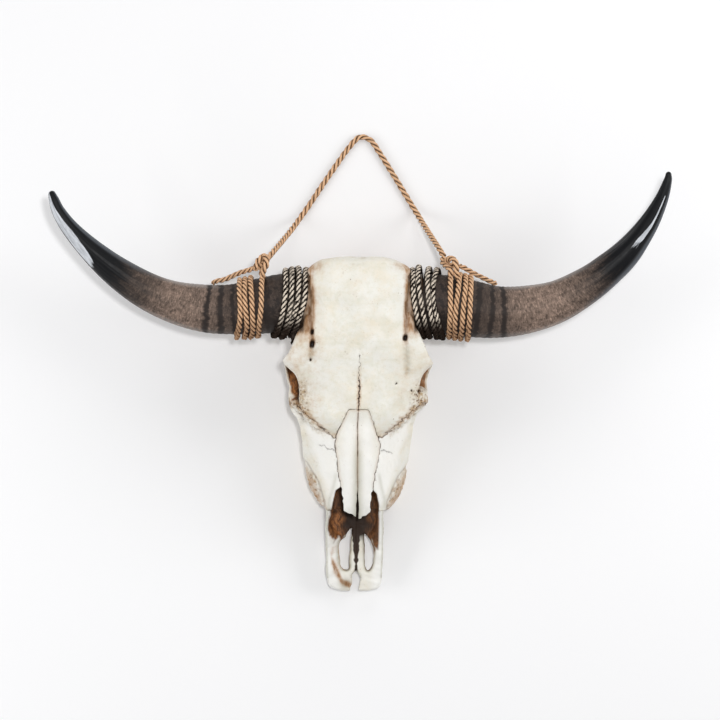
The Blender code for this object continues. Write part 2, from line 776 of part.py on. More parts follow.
def tooth(number, middle, first, length, width):
    """One cheek tooth, a rounded block whose worn end is flat on the floor."""
    bm = bmesh.new()
    bmesh.ops.create_cube(bm, size=1)
    size = (width, length + TOOTH_OVERLAP, TOOTH_TOP_Z)
    place = Matrix.Translation((middle, first + length / 2, TOOTH_TOP_Z / 2))
    bmesh.ops.transform(bm, matrix=place @ Matrix.Diagonal((*size, 1)), verts=bm.verts)
    upright = [e for e in bm.edges if abs(e.verts[0].co.z - e.verts[1].co.z) > TOOTH_TOP_Z / 2]
    bmesh.ops.bevel(bm, geom=upright, offset=TOOTH_BEVEL, segments=1, affect="EDGES")
    return from_bmesh(f"tooth_{number}", bm)


def muzzle_room(shift):
    corners = ((-FAR, MUZZLE_Y - shift), (FAR, MUZZLE_Y - shift), (FAR, -FAR), (-FAR, -FAR))
    return prism("muzzle", corners, -FAR, FAR)


def upper_jaw(core, nasal_rooms):
    """The two maxillae with the palate and all twelve cheek teeth."""
    bone = copy_of("upper_jaw", core)
    keep(bone, ahead_of_suture("ahead", 0.0))
    cut(bone, muzzle_room(0.0), *nose_cutters(), *nasal_rooms, *orbit_hollows())
    cut(bone, ellipsoid("vault", *PALATE_VAULT))
    for number, row in enumerate(TEETH):
        join(bone, *(leaned(shape) for shape in both_sides(tooth(number, *row))))
    return piece("upper_jaw", without_slivers(bone), "bone")


def nasal_bone(side, core, room):
    bone = without_slivers(keep(copy_of("nasal_bone", core), room))
    return piece(f"nasal_bone_{side}", bone, "bone")


def incisive_shape():
    """The +X incisive bone: a low shelf with a slot, and the wall along its outer edge."""
    bone = prism("incisive", INCISIVE_OUTLINE, -FAR, FAR)
    keep(bone, side_prism("incisive_side", INCISIVE_PROFILE, -FAR, FAR))
    angle = np.linspace(0, 2 * math.pi, SLOT_POINTS, endpoint=False)
    slot = np.c_[np.cos(angle), np.sin(angle)] * SLOT_RADII + SLOT_MIDDLE
    cut(bone, prism("slot", slot, -2 * FAR, 2 * FAR))
    cut(bone, prism("over", OVER_SHELF, INCISIVE_SHELF_Z, 2 * FAR))
    return fuse("incisive", [as_mesh(bone)], INCISIVE_VOXEL, INCISIVE_TRIANGLES)


def incisive_bones():
    """Both incisive bones, each ended by a gap at the jaw and by one along the midline."""
    behind = ((-FAR, MUZZLE_Y - GAP), (FAR, MUZZLE_Y - GAP), (FAR, FAR), (-FAR, FAR))
    past = ((-FAR, -FAR), (INCISIVE_INNER_X, -FAR), (INCISIVE_INNER_X, FAR), (-FAR, FAR))
    first = incisive_shape()
    cut(first, prism("behind", behind, -FAR, FAR), prism("past_midline", past, -FAR, FAR))
    for side, shape in zip(("left", "right"), both_sides(as_mesh(first))):
        if side == "right":
            for vertex in shape.data.vertices:
                share = (-vertex.co.x - BROADER_X[0]) / (BROADER_X[1] - BROADER_X[0])
                vertex.co.x -= BROADER * min(1.0, max(0.0, share))
        piece(f"incisive_bone_{side}", leaned(shape), "bone")


def knot(side):
    """The hitch where the hanger meets its binding, drawn tight into one lump."""
    middle = Vector(KNOTS[side])
    lumps = [ellipsoid("lump", middle, KNOT_RADII)]
    for way in (-1, 1):
        shift = Vector((0, way * KNOT_SPREAD, 0))
        turn = Matrix.Rotation(-way * KNOT_LEAN, 4, "Y")
        lumps.append(torus("turn", middle + shift, KNOT_TURN, ROPE / 2, turn))
    whole = fuse("knot", lumps, KNOT_VOXEL, KNOT_TRIANGLES)
    cut(whole, binding_room(side, JUTE_BINDING, JUTE_STRAND, 0.0))
    return piece(f"knot_{side}", whole, "jute")


def rope_tail(side):
    """The short end of the hanger, drawn outwards over the binding and tucked behind the horn."""
    line = smooth_line(TAILS[side], TAIL_POINTS)
    tail = as_mesh(tube_curve("tail", line, ROPE / 2))
    alongs = np.linspace(CORE_END_X, TAIL_HORN_X, TAIL_HORN_STATIONS)
    grown = round_horn(side, alongs, 0.0, GAP)
    cut(tail, loft("grown_horn", grown), binding_room(side, JUTE_BINDING, JUTE_STRAND, 0.0))
    return piece(f"rope_tail_{side}", tail, "jute")


def hanging_rope():
    """The free loop between the knots: down from each horn, then along the floor to its bend."""
    line = smooth_line(ROUTE, ROPE_POINTS)
    return piece("hanging_rope", tube_curve("hanging_rope", line, ROPE / 2), "jute")


def origin_empty():
    empty = bpy.data.objects.new("footprint_middle", None)
    MODEL.objects.link(empty)
    empty.location = (-ORIGIN_X, -ORIGIN_Y, 0)
    return empty


def hide_cutters():
    CUTTERS.hide_render = True
    for obj in CUTTERS.objects:
        obj.hide_render = True
        obj.display_type = "WIRE"


def main():
    core = leaned(skull_core())
    grown = nasal_room("nasal_grown", GAP)
    nasal_grown = [leaned(room) for room in both_sides(grown)]
    cranium(core, nasal_grown)
    upper_jaw(core, nasal_grown)
    rooms = [leaned(room) for room in both_sides(nasal_room("nasal", 0.0))]
    for side, room in zip(("left", "right"), rooms):
        nasal_bone(side, core, room)
    incisive_bones()
    for side in HORNS:
        horn(side)
        binding(side, "dark", DARK_BINDING, DARK_STRAND)
        binding(side, "jute", JUTE_BINDING, JUTE_STRAND)
        knot(side)
        rope_tail(side)
    hanging_rope()
    hide_cutters()
    empty = origin_empty()
    for obj in [*MODEL.objects, *CUTTERS.objects]:
        if obj is not empty:
            obj.parent = empty


clear_scene()
MODEL, CUTTERS = new_collection("longhorn_steer_skull"), new_collection("cutters")
main()
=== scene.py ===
"""A longhorn steer skull with rope bindings and its hanger, lying on its cheek teeth.

Metres, +Z up.  Shapes are worked out in skull coordinates, which the model's part uses too: x from
the midline of the forehead (+X is the animal's own left), y from the gap between the incisive bones
towards the poll, z from the floor.
"""

import json
import math

import bpy
import numpy as np
from mathutils import Vector
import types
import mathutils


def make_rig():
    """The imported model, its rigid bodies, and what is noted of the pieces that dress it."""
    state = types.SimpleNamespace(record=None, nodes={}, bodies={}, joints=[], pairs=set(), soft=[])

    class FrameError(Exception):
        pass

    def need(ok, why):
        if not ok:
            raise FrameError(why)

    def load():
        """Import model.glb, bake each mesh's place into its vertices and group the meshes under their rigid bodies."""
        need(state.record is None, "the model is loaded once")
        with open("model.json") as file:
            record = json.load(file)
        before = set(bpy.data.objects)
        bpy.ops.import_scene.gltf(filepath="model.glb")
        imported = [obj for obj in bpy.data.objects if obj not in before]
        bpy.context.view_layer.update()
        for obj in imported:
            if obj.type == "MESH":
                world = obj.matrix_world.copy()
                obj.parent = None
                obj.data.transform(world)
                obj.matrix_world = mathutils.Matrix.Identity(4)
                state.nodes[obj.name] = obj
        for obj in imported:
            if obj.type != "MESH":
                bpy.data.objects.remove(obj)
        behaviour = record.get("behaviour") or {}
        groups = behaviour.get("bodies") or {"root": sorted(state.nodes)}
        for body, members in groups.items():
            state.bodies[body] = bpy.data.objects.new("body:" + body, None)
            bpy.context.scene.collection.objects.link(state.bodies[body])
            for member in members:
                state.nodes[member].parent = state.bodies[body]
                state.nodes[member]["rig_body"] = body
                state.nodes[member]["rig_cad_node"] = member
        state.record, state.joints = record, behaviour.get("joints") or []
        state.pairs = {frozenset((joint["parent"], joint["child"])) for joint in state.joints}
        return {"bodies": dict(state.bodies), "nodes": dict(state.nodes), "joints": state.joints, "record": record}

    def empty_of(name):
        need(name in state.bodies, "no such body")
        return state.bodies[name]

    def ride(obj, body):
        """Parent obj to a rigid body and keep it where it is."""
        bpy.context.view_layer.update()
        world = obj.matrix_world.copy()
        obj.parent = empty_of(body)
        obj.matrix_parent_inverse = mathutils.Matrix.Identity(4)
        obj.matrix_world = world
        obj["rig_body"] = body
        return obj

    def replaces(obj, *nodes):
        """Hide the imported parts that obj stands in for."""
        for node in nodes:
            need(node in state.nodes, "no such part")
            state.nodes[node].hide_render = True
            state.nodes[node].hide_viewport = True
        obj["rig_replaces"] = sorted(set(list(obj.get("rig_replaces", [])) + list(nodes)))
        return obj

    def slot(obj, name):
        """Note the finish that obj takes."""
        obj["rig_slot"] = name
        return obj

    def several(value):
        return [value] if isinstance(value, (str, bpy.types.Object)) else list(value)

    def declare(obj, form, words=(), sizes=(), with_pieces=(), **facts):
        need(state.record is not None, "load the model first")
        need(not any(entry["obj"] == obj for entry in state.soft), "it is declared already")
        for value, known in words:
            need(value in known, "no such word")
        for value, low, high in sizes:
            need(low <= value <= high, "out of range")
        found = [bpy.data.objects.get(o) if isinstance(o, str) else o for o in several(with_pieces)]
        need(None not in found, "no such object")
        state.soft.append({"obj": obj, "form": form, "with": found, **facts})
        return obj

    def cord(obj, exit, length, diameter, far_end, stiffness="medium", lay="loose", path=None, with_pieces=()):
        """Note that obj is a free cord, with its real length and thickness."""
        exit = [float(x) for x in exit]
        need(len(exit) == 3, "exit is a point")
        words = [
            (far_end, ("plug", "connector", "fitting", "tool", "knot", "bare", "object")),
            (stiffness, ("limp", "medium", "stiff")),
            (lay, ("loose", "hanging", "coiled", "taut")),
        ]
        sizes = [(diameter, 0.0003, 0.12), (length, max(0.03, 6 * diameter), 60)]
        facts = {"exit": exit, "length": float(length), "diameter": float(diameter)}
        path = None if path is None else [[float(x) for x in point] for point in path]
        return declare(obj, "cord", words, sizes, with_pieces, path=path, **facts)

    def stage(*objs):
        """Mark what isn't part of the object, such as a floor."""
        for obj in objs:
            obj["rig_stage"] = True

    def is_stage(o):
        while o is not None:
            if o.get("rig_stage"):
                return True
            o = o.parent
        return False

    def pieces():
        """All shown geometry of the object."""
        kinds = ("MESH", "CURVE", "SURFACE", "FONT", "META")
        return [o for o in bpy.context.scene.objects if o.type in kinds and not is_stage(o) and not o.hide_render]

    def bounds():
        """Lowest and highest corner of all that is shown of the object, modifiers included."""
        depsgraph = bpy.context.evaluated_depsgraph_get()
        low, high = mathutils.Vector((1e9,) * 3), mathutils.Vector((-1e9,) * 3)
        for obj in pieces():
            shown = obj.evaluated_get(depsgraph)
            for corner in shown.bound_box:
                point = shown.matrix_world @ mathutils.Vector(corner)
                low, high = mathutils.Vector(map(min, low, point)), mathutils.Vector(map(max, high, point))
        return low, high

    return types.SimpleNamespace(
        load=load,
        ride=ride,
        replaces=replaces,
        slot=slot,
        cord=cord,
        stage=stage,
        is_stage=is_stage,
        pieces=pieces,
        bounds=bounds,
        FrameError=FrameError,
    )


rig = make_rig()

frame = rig.load()
CAD_BOX = [list(corner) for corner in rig.bounds()]

bl_info = {
    "name": "Longhorn steer skull",
    "version": (1, 0, 0),
    "blender": (4, 5, 0),
    "location": "3D View > Sidebar > Skull",
    "description": "Builds the bones, horns, rope bindings and hanger of a longhorn steer skull",
    "category": "Add Mesh",
}

# ---- measures, most of them shared with the part ---------------------------------------------

SIDES = {1: "left", -1: "right"}  # the animal's own, by the sign of x


def metres(rows):
    """Rows of whole numbers, in tenths of a millimetre, as metres.  A share among them is in
    ten-thousandths, and comes out as a share of one."""
    if isinstance(rows, dict):
        return {key: metres(row) for key, row in rows.items()}
    return tuple(row / 10000 if isinstance(row, int) else metres(row) for row in rows)


ORIGIN = np.array([0.0011, 0.3104, 0.0])  # near the middle of the skull, in skull coordinates
LEAN = 0.002  # the face stands this far to -X of the forehead
LEAN_Y = (0.25, 0.3)  # and turns to there between these two places
ROLL = 0.025  # its lower parts stand further to -X, by this share of their depth
ROLL_Z = 0.13
GAP = 0.0004  # from the end of a horn's core to its sheath
SEAM = -0.0001  # bones grown together meet with no gap

# y, half width, top, widest height, bottom, narrowing up and down
TRUNK = metres((
    (1040, 470, 1090, 480, 240, 2500, 1000), (1180, 500, 1150, 480, 240, 2800, 1000),
    (1280, 580, 1210, 460, 240, 3600, 1000), (1450, 690, 1290, 460, 240, 4500, 1000),
    (1660, 765, 1370, 480, 240, 4800, 1000), (1900, 790, 1440, 580, 240, 4800, 1200),
    (2070, 800, 1480, 650, 250, 4700, 1500), (2370, 840, 1550, 750, 280, 4200, 2500),
    (2620, 850, 1600, 850, 340, 3200, 3500), (2850, 820, 1650, 950, 420, 2000, 4000),
    (3100, 760, 1680, 1000, 480, 1000, 5000), (3450, 660, 1720, 1050, 500, 0, 5000),
    (3800, 580, 1760, 1050, 480, 0, 4500), (4300, 580, 1780, 1050, 460, 0, 4000),
    (4700, 600, 1740, 1050, 440, 0, 3500), (4890, 520, 1640, 1050, 500, 0, 3000),
))
TRUNK_POWER = 0.8
# The frontal roof: y, half width, top, thickness
ROOF = metres((
    (2400, 600, 1500, 220), (2580, 780, 1580, 260), (2760, 870, 1620, 300), (3040, 900, 1670, 340),
    (3250, 960, 1720, 360), (3450, 1145, 1760, 380), (3580, 1120, 1790, 400),
    (3720, 1030, 1820, 420), (3990, 880, 1840, 460), (4200, 770, 1860, 500), (4650, 760, 1860, 520),
    (4850, 730, 1835, 500), (4930, 610, 1800, 440), (5000, 420, 1740, 320),
))
ROOF_POWER = 0.62
ORBIT = (0.0905, 0.308, 0.12)
ORBIT_RIM_RADIUS = 0.036
ORBIT_RIM_THICK = 0.0068
ORBIT_TILT = math.radians(20)
ORBIT_YAW = math.radians(12)
ORBIT_HOLLOW = (0.05, 0.0255, 0.0305)
ORBIT_HOLLOW_MIDDLE = (0.086, 0.315, 0.12)
ORBIT_SCOOP = ((0.0995, 0.318, 0.113), (0.01, 0.0265, 0.0205))
# Bars of bone at the +X side: how softly each runs into the rest, then x, y, z, radius along it
BARS = metres({
    "zygomatic arch": (
        50, (760, 2400, 740, 100), (885, 2680, 820, 100), (995, 3050, 870, 80),
        (1065, 3380, 970, 90), (990, 3740, 980, 70), (820, 4040, 980, 90), (550, 4320, 1000, 120),
    ),
    "postorbital bar": (60, (1065, 3380, 980, 85), (1065, 3480, 1240, 80), (1010, 3500, 1550, 100)),
    "jugular process": (
        100, (460, 4720, 880, 160), (480, 4680, 520, 130), (440, 4610, 200, 90),
        (410, 4580, 66, 65),
    ),
    "facial crest": (100, (660, 1960, 620, 100), (740, 2200, 670, 120), (820, 2450, 740, 100)),
})
SKULL_BASE = metres((
    (0, 2960, 700, 160), (0, 3600, 580, 170), (0, 4300, 480, 210), (0, 4800, 460, 200),
))
NUCHAL_CREST = metres((
    (-660, 4780, 1320, 100), (-400, 4840, 1560, 120), (0, 4845, 1580, 120), (400, 4840, 1560, 120),
    (660, 4780, 1320, 100),
))
# Rounded knobs at one side: middle, then radii
KNOBS = metres((
    ((270, 4820, 440), (170, 180, 240)),
    ((310, 4300, 460), (130, 200, 220)),
    ((680, 4040, 920), (240, 150, 130)),
    ((240, 2960, 500), (60, 380, 260)),
    ((580, 4480, 1000), (180, 240, 340)),
    ((840, 2900, 900), (200, 360, 130)),
    ((935, 2830, 1160), (85, 85, 200)),
))
LOWER_RIM = ((0.0905, 0.289, 0.123), (0.0135, 0.0185, 0.026))  # fuller at the +X side only
FORAMEN_MAGNUM = ((0.0, 0.5, 0.068), (0.018, 0.034, 0.017))
CHOANAE = ((0.0, 0.282, 0.046), (0.0165, 0.044, 0.018))
PALATE_VAULT = ((0.0, 0.18, 0.014), (0.037, 0.11, 0.017))
CHEEK_HOLE = ((0.074, 0.15, 0.066), (0.012, 0.007, 0.0045))
SUTURE_X = (0.036, 0.095)
SUTURE_Y = (0.23, 0.282)
SUTURE_LOW_Y = 0.268
SUTURE_LOW_Z = 0.072
MUZZLE_Y = 0.118
NASAL_THICK = 0.007
NASAL_APART = metres(((1060, 17), (1250, 13), (1480, 4), (1600, -1)))  # y, half the gap
# Outline of each nasal bone from its tip round its outer edge, in |x|, y
NASAL_OUTLINES = metres({
    1: (
        (22, 1065), (65, 1100), (110, 1120), (190, 1170), (200, 1360), (232, 1560), (262, 1740),
        (318, 2020), (340, 2200), (287, 2370), (182, 2680), (160, 2725),
    ),
    -1: (
        (30, 1105), (80, 1135), (205, 1185), (215, 1390), (262, 1640), (288, 1740), (312, 2000),
        (342, 2210), (300, 2400), (172, 2670), (150, 2725),
    ),
})
# The nasal opening: y, half width.  The hollow behind it: y, half width, lowest, highest
NOSE_OPENING = metres({
    1: ((600, 340), (1150, 322), (1270, 325), (1450, 285), (1520, 220)),
    -1: ((600, 400), (1150, 388), (1320, 360), (1500, 322), (1570, 240)),
})
NOSE_HOLLOW = metres((
    (600, 330, 340, 1040), (1100, 330, 360, 1060), (1500, 310, 380, 1180), (1900, 300, 420, 1340),
    (2220, 220, 520, 1400),
))
NOSE_END_Y = 0.157
NOSE_FLOOR_Z = 0.036
NOSE_RIDGE = metres(((10, 1050, 360, 45), (0, 1500, 400, 40), (0, 2150, 520, 40)))
# Cheek teeth at one side: middle x, first y, length, width
TEETH = metres((
    (470, 1260, 165, 160), (495, 1425, 185, 190), (520, 1610, 190, 210), (540, 1800, 235, 235),
    (550, 2035, 270, 245), (550, 2305, 290, 235),
))
TOOTH_TOP_Z = 0.033
INCISIVE_OUTLINE = metres((
    (22, -40), (70, -82), (200, -75), (310, -45), (380, 35), (402, 200), (410, 600), (412, 900),
    (400, 1060), (397, 1200), (300, 1260), (-60, 1260), (-60, 300), (20, 215), (58, 130),
))
# Outlines of the long slot through each incisive bone and of the notch at its front inner corner
SLOTS = metres({
    1: (
        (136, 800), (227, 700), (268, 570), (268, 448), (240, 302), (190, 240), (145, 285),
        (128, 509), (122, 740),
    ),
    -1: (
        (68, 890), (140, 815), (166, 750), (226, 715), (252, 631), (258, 448), (232, 302),
        (171, 248), (102, 285), (96, 509), (70, 780),
    ),
})
NOTCHES = metres({
    1: ((-100, -300), (10, -120), (28, -40), (74, 110), (8, 215), (-100, 215)),
    -1: ((-100, -300), (85, -120), (85, -3), (56, 65), (8, 215), (-100, 215)),
})
# Where the dark of the nose starts on the incisive bones: |x|, y
NOSE_SHADE = metres({
    1: ((0, 790), (120, 790), (227, 690), (280, 580), (360, 600)),
    -1: ((0, 860), (70, 880), (150, 780), (240, 740), (330, 740), (400, 900)),
})
STAIN_LINE = metres(((322, 600), (338, 452), (286, 218), (227, 84), (89, 4)))
# The crease above the cheek teeth and the greenish edge of the nose seen from above: y, |x|
JAW_CREASES = metres({
    1: ((1316, 458), (1508, 535), (1702, 625), (1900, 800)),
    -1: ((1316, 488), (1625, 583), (1914, 757), (2000, 850)),
})
STRIP = metres(((1180, 440), (1350, 415), (1500, 375), (1670, 335), (1800, 320)))
INCISIVE_TOP = metres(((-100, 300), (100, 360), (600, 500), (900, 680), (1178, 930)))
INCISIVE_BOTTOM = ((-0.01, 0.02), (0.015, 0.018), (0.06, 0.024), (0.1178, 0.023))
INCISIVE_SHELF_Z = 0.035
INCISIVE_WALLS = metres({
    1: ((-300, 315), (750, 322), (1100, 322), (1300, 340)),
    -1: ((-300, 345), (940, 366), (1120, 355), (1300, 350)),
})
BROADER = 0.0055
BROADER_X = (0.025, 0.036)
# x, y, z, radius along the middle of each horn, from inside the skull to the tip
HORN_LINES = metres({
    1: (
        (500, 4340, 1280, 445), (1100, 4308, 1300, 440), (1350, 4290, 1300, 440),
        (1710, 4232, 1290, 425), (2100, 4195, 1270, 390), (2535, 4230, 1260, 362),
        (2985, 4350, 1270, 320), (3464, 4610, 1320, 268), (3782, 4860, 1380, 236),
        (3985, 5050, 1430, 210), (4158, 5260, 1480, 178), (4346, 5544, 1550, 144),
        (4507, 5870, 1620, 98), (4590, 6128, 1680, 62), (4602, 6222, 1700, 44),
    ),
    -1: (
        (-500, 4340, 1280, 445), (-1100, 4320, 1300, 435), (-1400, 4285, 1300, 415),
        (-1860, 4230, 1280, 383), (-2265, 4230, 1270, 358), (-2715, 4320, 1270, 320),
        (-3165, 4495, 1310, 278), (-3568, 4750, 1380, 238), (-3982, 5084, 1480, 178),
        (-4290, 5409, 1570, 130), (-4467, 5667, 1630, 98), (-4540, 5850, 1660, 74),
        (-4566, 5928, 1670, 56),
    ),
})
CORE_END_X = 0.095
CORE_STATIONS = 40
HORN_SAMPLES = 400

ROPE = 0.0088
ROUTE = metres((
    (-1375, 4985, 1240), (-1290, 5105, 1060), (-1180, 5260, 700), (-1060, 5430, 330),
    (-930, 5620, 90), (-780, 5835, 49), (-560, 6165, 49), (-330, 6500, 49), (-140, 6760, 49),
    (10, 6900, 49), (180, 6850, 49), (330, 6640, 49), (530, 6320, 49), (730, 5990, 49),
    (880, 5740, 90), (990, 5540, 330), (1090, 5350, 700), (1190, 5170, 1060), (1270, 5025, 1240),
))
TAILS = metres({
    1: (
        (1492, 4885, 1378), (1570, 4850, 1330), (1750, 4752, 1280), (1980, 4645, 1220),
        (2075, 4612, 1120),
    ),
    -1: (
        (-1560, 4850, 1460), (-1620, 4820, 1400), (-1800, 4768, 1320), (-2000, 4680, 1270),
        (-2135, 4650, 1230), (-2210, 4616, 1120),
    ),
})

# ---- measures of the look alone ---------------------------------------------------------------

# For each turn of cord round a horn: |x| at five places from its upper edge to its lower one, then
# how many cord thicknesses it stands clear of the horn there, where it does
TURN_ANGLES = (18.0, 54.0, 90.0, 126.0, 162.0)
DARK_TURNS = metres({
    1: (
        (804, 801, 822, 885, 950), (891, 881, 918, 982, 1032, 3500, 1000, 0, 0, 0),
        (1039, 1018, 1043, 1101, 1144, 2500, 1000, 0, 0, 0),
        (1152, 1098, 1108, 1183, 1241, 1500, -1000, -3500, -2000, 0),
    ),
    -1: (
        (797, 800, 809, 908, 987), (902, 897, 915, 1006, 1099, 1500, 0, 0, 0, 0),
        (996, 991, 1013, 1068, 1137, 1000, 0, 0, 0, 1500), (1096, 1086, 1102, 1166, 1249),
    ),
})
JUTE_TURNS = metres({
    1: (
        (1370, 1364, 1355, 1348, 1347), (1506, 1480, 1446, 1431, 1428),
        (1593, 1575, 1552, 1534, 1528), (1673, 1666, 1645, 1631, 1632),
    ),
    -1: (
        (1446, 1450, 1459, 1481, 1503), (1620, 1606, 1587, 1581, 1612),
        (1711, 1702, 1682, 1670, 1702), (1789, 1781, 1768, 1778, 1820),
    ),
})
# The cords of each knot: from the hanger to the nearest turn, and from another turn to the tail
KNOTS = metres({
    1: (
        (
            (1270, 5025, 1240), (1259, 4924, 1350), (1320, 4855, 1490), (1368, 4781, 1560),
            (1372, 4640, 1500),
        ),
        (
            (1475, 4660, 1520), (1452, 4785, 1580), (1445, 4885, 1610), (1412, 4958, 1580),
            (1352, 4978, 1510), (1310, 4945, 1440), (1335, 4895, 1410), (1400, 4875, 1430),
            (1492, 4885, 1378),
        ),
    ),
    -1: (
        (
            (-1375, 4985, 1240), (-1413, 5015, 1400), (-1487, 4967, 1520), (-1525, 4885, 1540),
            (-1535, 4835, 1520), (-1560, 4850, 1460),
        ),
        (
            (-1446, 4640, 1500), (-1428, 4781, 1560), (-1383, 4893, 1590), (-1390, 4990, 1530),
            (-1435, 5012, 1430), (-1458, 4930, 1350), (-1457, 4825, 1370), (-1450, 4700, 1400),
        ),
    ),
})
KNOT_THICK = 0.0096
SPUR = ((-0.0955, 0.39, 0.152), (-0.0975, 0.382, 0.156), (-0.1013, 0.3695, 0.15))
# Pale bands of painted highlight near the tips, in |x| and in the share of the width from the horn's
# middle to its upper edge: the lower flank up to the first line on one horn, a streak along the second on the other
HIGHLIGHT_FLANK = metres((
    (3750, -9500), (3850, -6000), (3980, -3000), (4100, -1000), (4290, 1200), (4470, -500),
    (4552, -3500), (4580, -6000),
))
HIGHLIGHT_STREAK = ((0.4, -0.05), (0.415, -0.1), (0.434, -0.28), (0.4507, -0.3))
STREAK_HALF = ((0.39, 0.34), (0.412, 0.28), (0.426, 0.2), (0.438, 0.1), (0.45, 0.07))
# Half the gap between the incisive bones: y, |x|
BARS_APART = metres(((280, 14), (460, 24), (660, 44), (880, 74)))
# Grooves in the bone seen from above: points in x, y, then width, depth, and the lowest height
GROOVES = metres((
    (((-745, 4230), (-705, 3900), (-690, 3720), (-720, 3480)), 28, 42),
    (((715, 4290), (690, 3800), (715, 3450), (720, 3250)), 30, 32),
    (((12, 3620), (4, 3300), (0, 2750)), 12, 12),
))
# Small holes into the bone seen from above: x, y, half width, half length, depth
HOLES = metres((
    (-693, 3881, 22, 38, 80), (-695, 3703, 31, 52, 140), (-722, 3465, 13, 19, 60),
    (686, 3795, 29, 42, 140), (555, 3115, 11, 13, 50), (780, 3010, 10, 13, 50),
    (885, 3000, 12, 19, 60), (830, 2690, 12, 15, 50),
))
# Outline of the brows and cheeks seen from above, at each side: y, |x|
FACE_OUTLINES = metres({
    1: (
        (1887, 780), (2054, 800), (2358, 842), (2463, 850), (2606, 885), (2708, 935), (2797, 1034),
        (2975, 1040), (3123, 1025), (3257, 1054), (3398, 1117), (3430, 1100), (3532, 1037),
        (3676, 983), (3839, 910), (3982, 857),
    ),
    -1: (
        (1887, 830), (2054, 820), (2275, 832), (2358, 850), (2463, 865), (2597, 918), (2651, 975),
        (2767, 1054), (2945, 1069), (3064, 1054), (3138, 1084), (3407, 1130), (3469, 1142),
        (3569, 1051), (3676, 998), (3802, 953), (3946, 891),
    ),
})

# ---- curves and grids of numbers -------------------------------------------------------------

SMOOTH_STEPS = 24  # points between two given ones


def catmull_rom(a, b, c, d, t):
    """From b to c, with slopes from the points before and after."""
    curve = 2 * b + (c - a) * t + (2 * a - 5 * b + 4 * c - d) * t**2
    return (curve + (3 * b - 3 * c + d - a) * t**3) / 2


def closed_line(points, steps=4):
    """A closed outline through the given points, rounded off."""
    points = np.asarray(points, float)
    a, b, c, d = (np.roll(points, shift, axis=0)[:, None] for shift in (1, 0, -1, -2))
    t = np.linspace(0, 1, steps, endpoint=False)[None, :, None]
    return catmull_rom(a, b, c, d, t).reshape(-1, 2)


def travelled(line):
    """How far along a line each of its points is."""
    steps = np.linalg.norm(np.diff(line, axis=0), axis=1)
    return np.concatenate([[0], np.cumsum(steps)])


def columns_at(at, along, table):
    """All columns of a table at these places along it, straight between its rows."""
    return np.stack([np.interp(at, along, column) for column in table.T], axis=-1)


def smooth_line(points, count):
    """Evenly spaced points on a Catmull-Rom curve through the given ones; other columns go along."""
    points = np.asarray(points, float)
    padded = np.vstack([2 * points[0] - points[1], points, 2 * points[-1] - points[-2]])
    t = np.linspace(0, 1, SMOOTH_STEPS, endpoint=False)[None, :, None]
    curve = catmull_rom(*(padded[i : len(padded) - 3 + i, None] for i in range(4)), t)
    line = np.vstack([curve.reshape(-1, points.shape[1]), points[-1:]])
    along = travelled(line[:, :3])
    return columns_at(np.linspace(0, along[-1], count), along, line)


def smooth_rows(table, at):
    """The table's columns at places along its first one: between rows, a cubic with their slopes."""
    table = np.asarray(table, float)
    knots, values = table[:, 0], table[:, 1:]
    slopes = np.gradient(values, knots, axis=0)
    i = np.clip(np.searchsorted(knots, at) - 1, 0, len(knots) - 2)
    width = (knots[i + 1] - knots[i])[:, None]
    t = np.clip((at[:, None] - knots[i][:, None]) / width, 0, 1)
    near = (2 * t**3 - 3 * t**2 + 1) * values[i] + (t**3 - 2 * t**2 + t) * width * slopes[i]
    return near + (3 * t**2 - 2 * t**3) * values[i + 1] + (t**3 - t**2) * width * slopes[i + 1]


def level(table, at):
    """A table's second column at places along its first one, straight between its rows."""
    return np.interp(at, *np.transpose(table))


def by_side(tables, x, y):
    """The level at y of the table of whichever side x is on."""
    return np.where(x > 0, *(level(tables[side], y) for side in SIDES))


def ease(value, start, end):
    """0 before start and 1 past end, smooth between: t^2 (3 - 2t); start may be the larger."""
    t = np.clip((value - start) / (end - start), 0, 1)
    return t * t * (3 - 2 * t)


def bell(off, width, off_too=0, width_too=1):
    """1 where both offsets are 0, fading away from there: e to the minus sum of (off / width)^2."""
    return np.exp(-((off / width) ** 2) - (off_too / width_too) ** 2)


def smooth_min(a, b, blend):
    """The smaller of two distances, rounded off where they are within blend of each other."""
    h = np.maximum(blend - np.abs(a - b), 0)
    return np.minimum(a, b) - h * h / (4 * blend)


def smooth_max(a, b, blend):
    """The larger of two distances, rounded off in the same way."""
    return -smooth_min(-a, -b, blend)


def ripple(x, y, z, size, seed, waves=7):
    """A smooth random swell, mostly between -1 and 1: sine waves of about this length in random
    directions, added up and divided by the root of how many they are."""
    rng = np.random.default_rng(seed)
    ways = rng.normal(size=(waves, 3))
    length = np.linalg.norm(ways, axis=1, keepdims=True)
    ways *= 2 * np.pi / size * rng.uniform(0.7, 1.4, (waves, 1)) / length
    total = 0
    for way, phase in zip(ways.astype(np.float32), rng.uniform(0, 2 * np.pi, waves)):
        total = total + np.sin(way[0] * x + way[1] * y + way[2] * z + np.float32(phase))
    return total / math.sqrt(waves)


def turn_z(angle):
    """The matrix that turns x towards y by an angle."""
    c, s = math.cos(angle), math.sin(angle)
    return np.array([[c, -s, 0], [s, c, 0], [0, 0, 1]])


def turn_y(angle):
    """The matrix that turns z towards x by an angle."""
    c, s = math.cos(angle), math.sin(angle)
    return np.array([[c, 0, s], [0, 1, 0], [-s, 0, c]])


def unit(vectors):
    """Each vector divided by its length."""
    return vectors / np.linalg.norm(vectors, axis=-1, keepdims=True)


# ---- bone as signed distances ----------------------------------------------------------------
# A shape is its lowest corner, its highest corner and its distance, a function of x, y and z.

REACH = 0.024  # how far round a shape its distances are worked out
FAR = 0.3
END_BLEND = 0.008
ROD_STATIONS = 12
MOST_MOVE = 0.6  # of a cell, for a point that is moved onto the skin


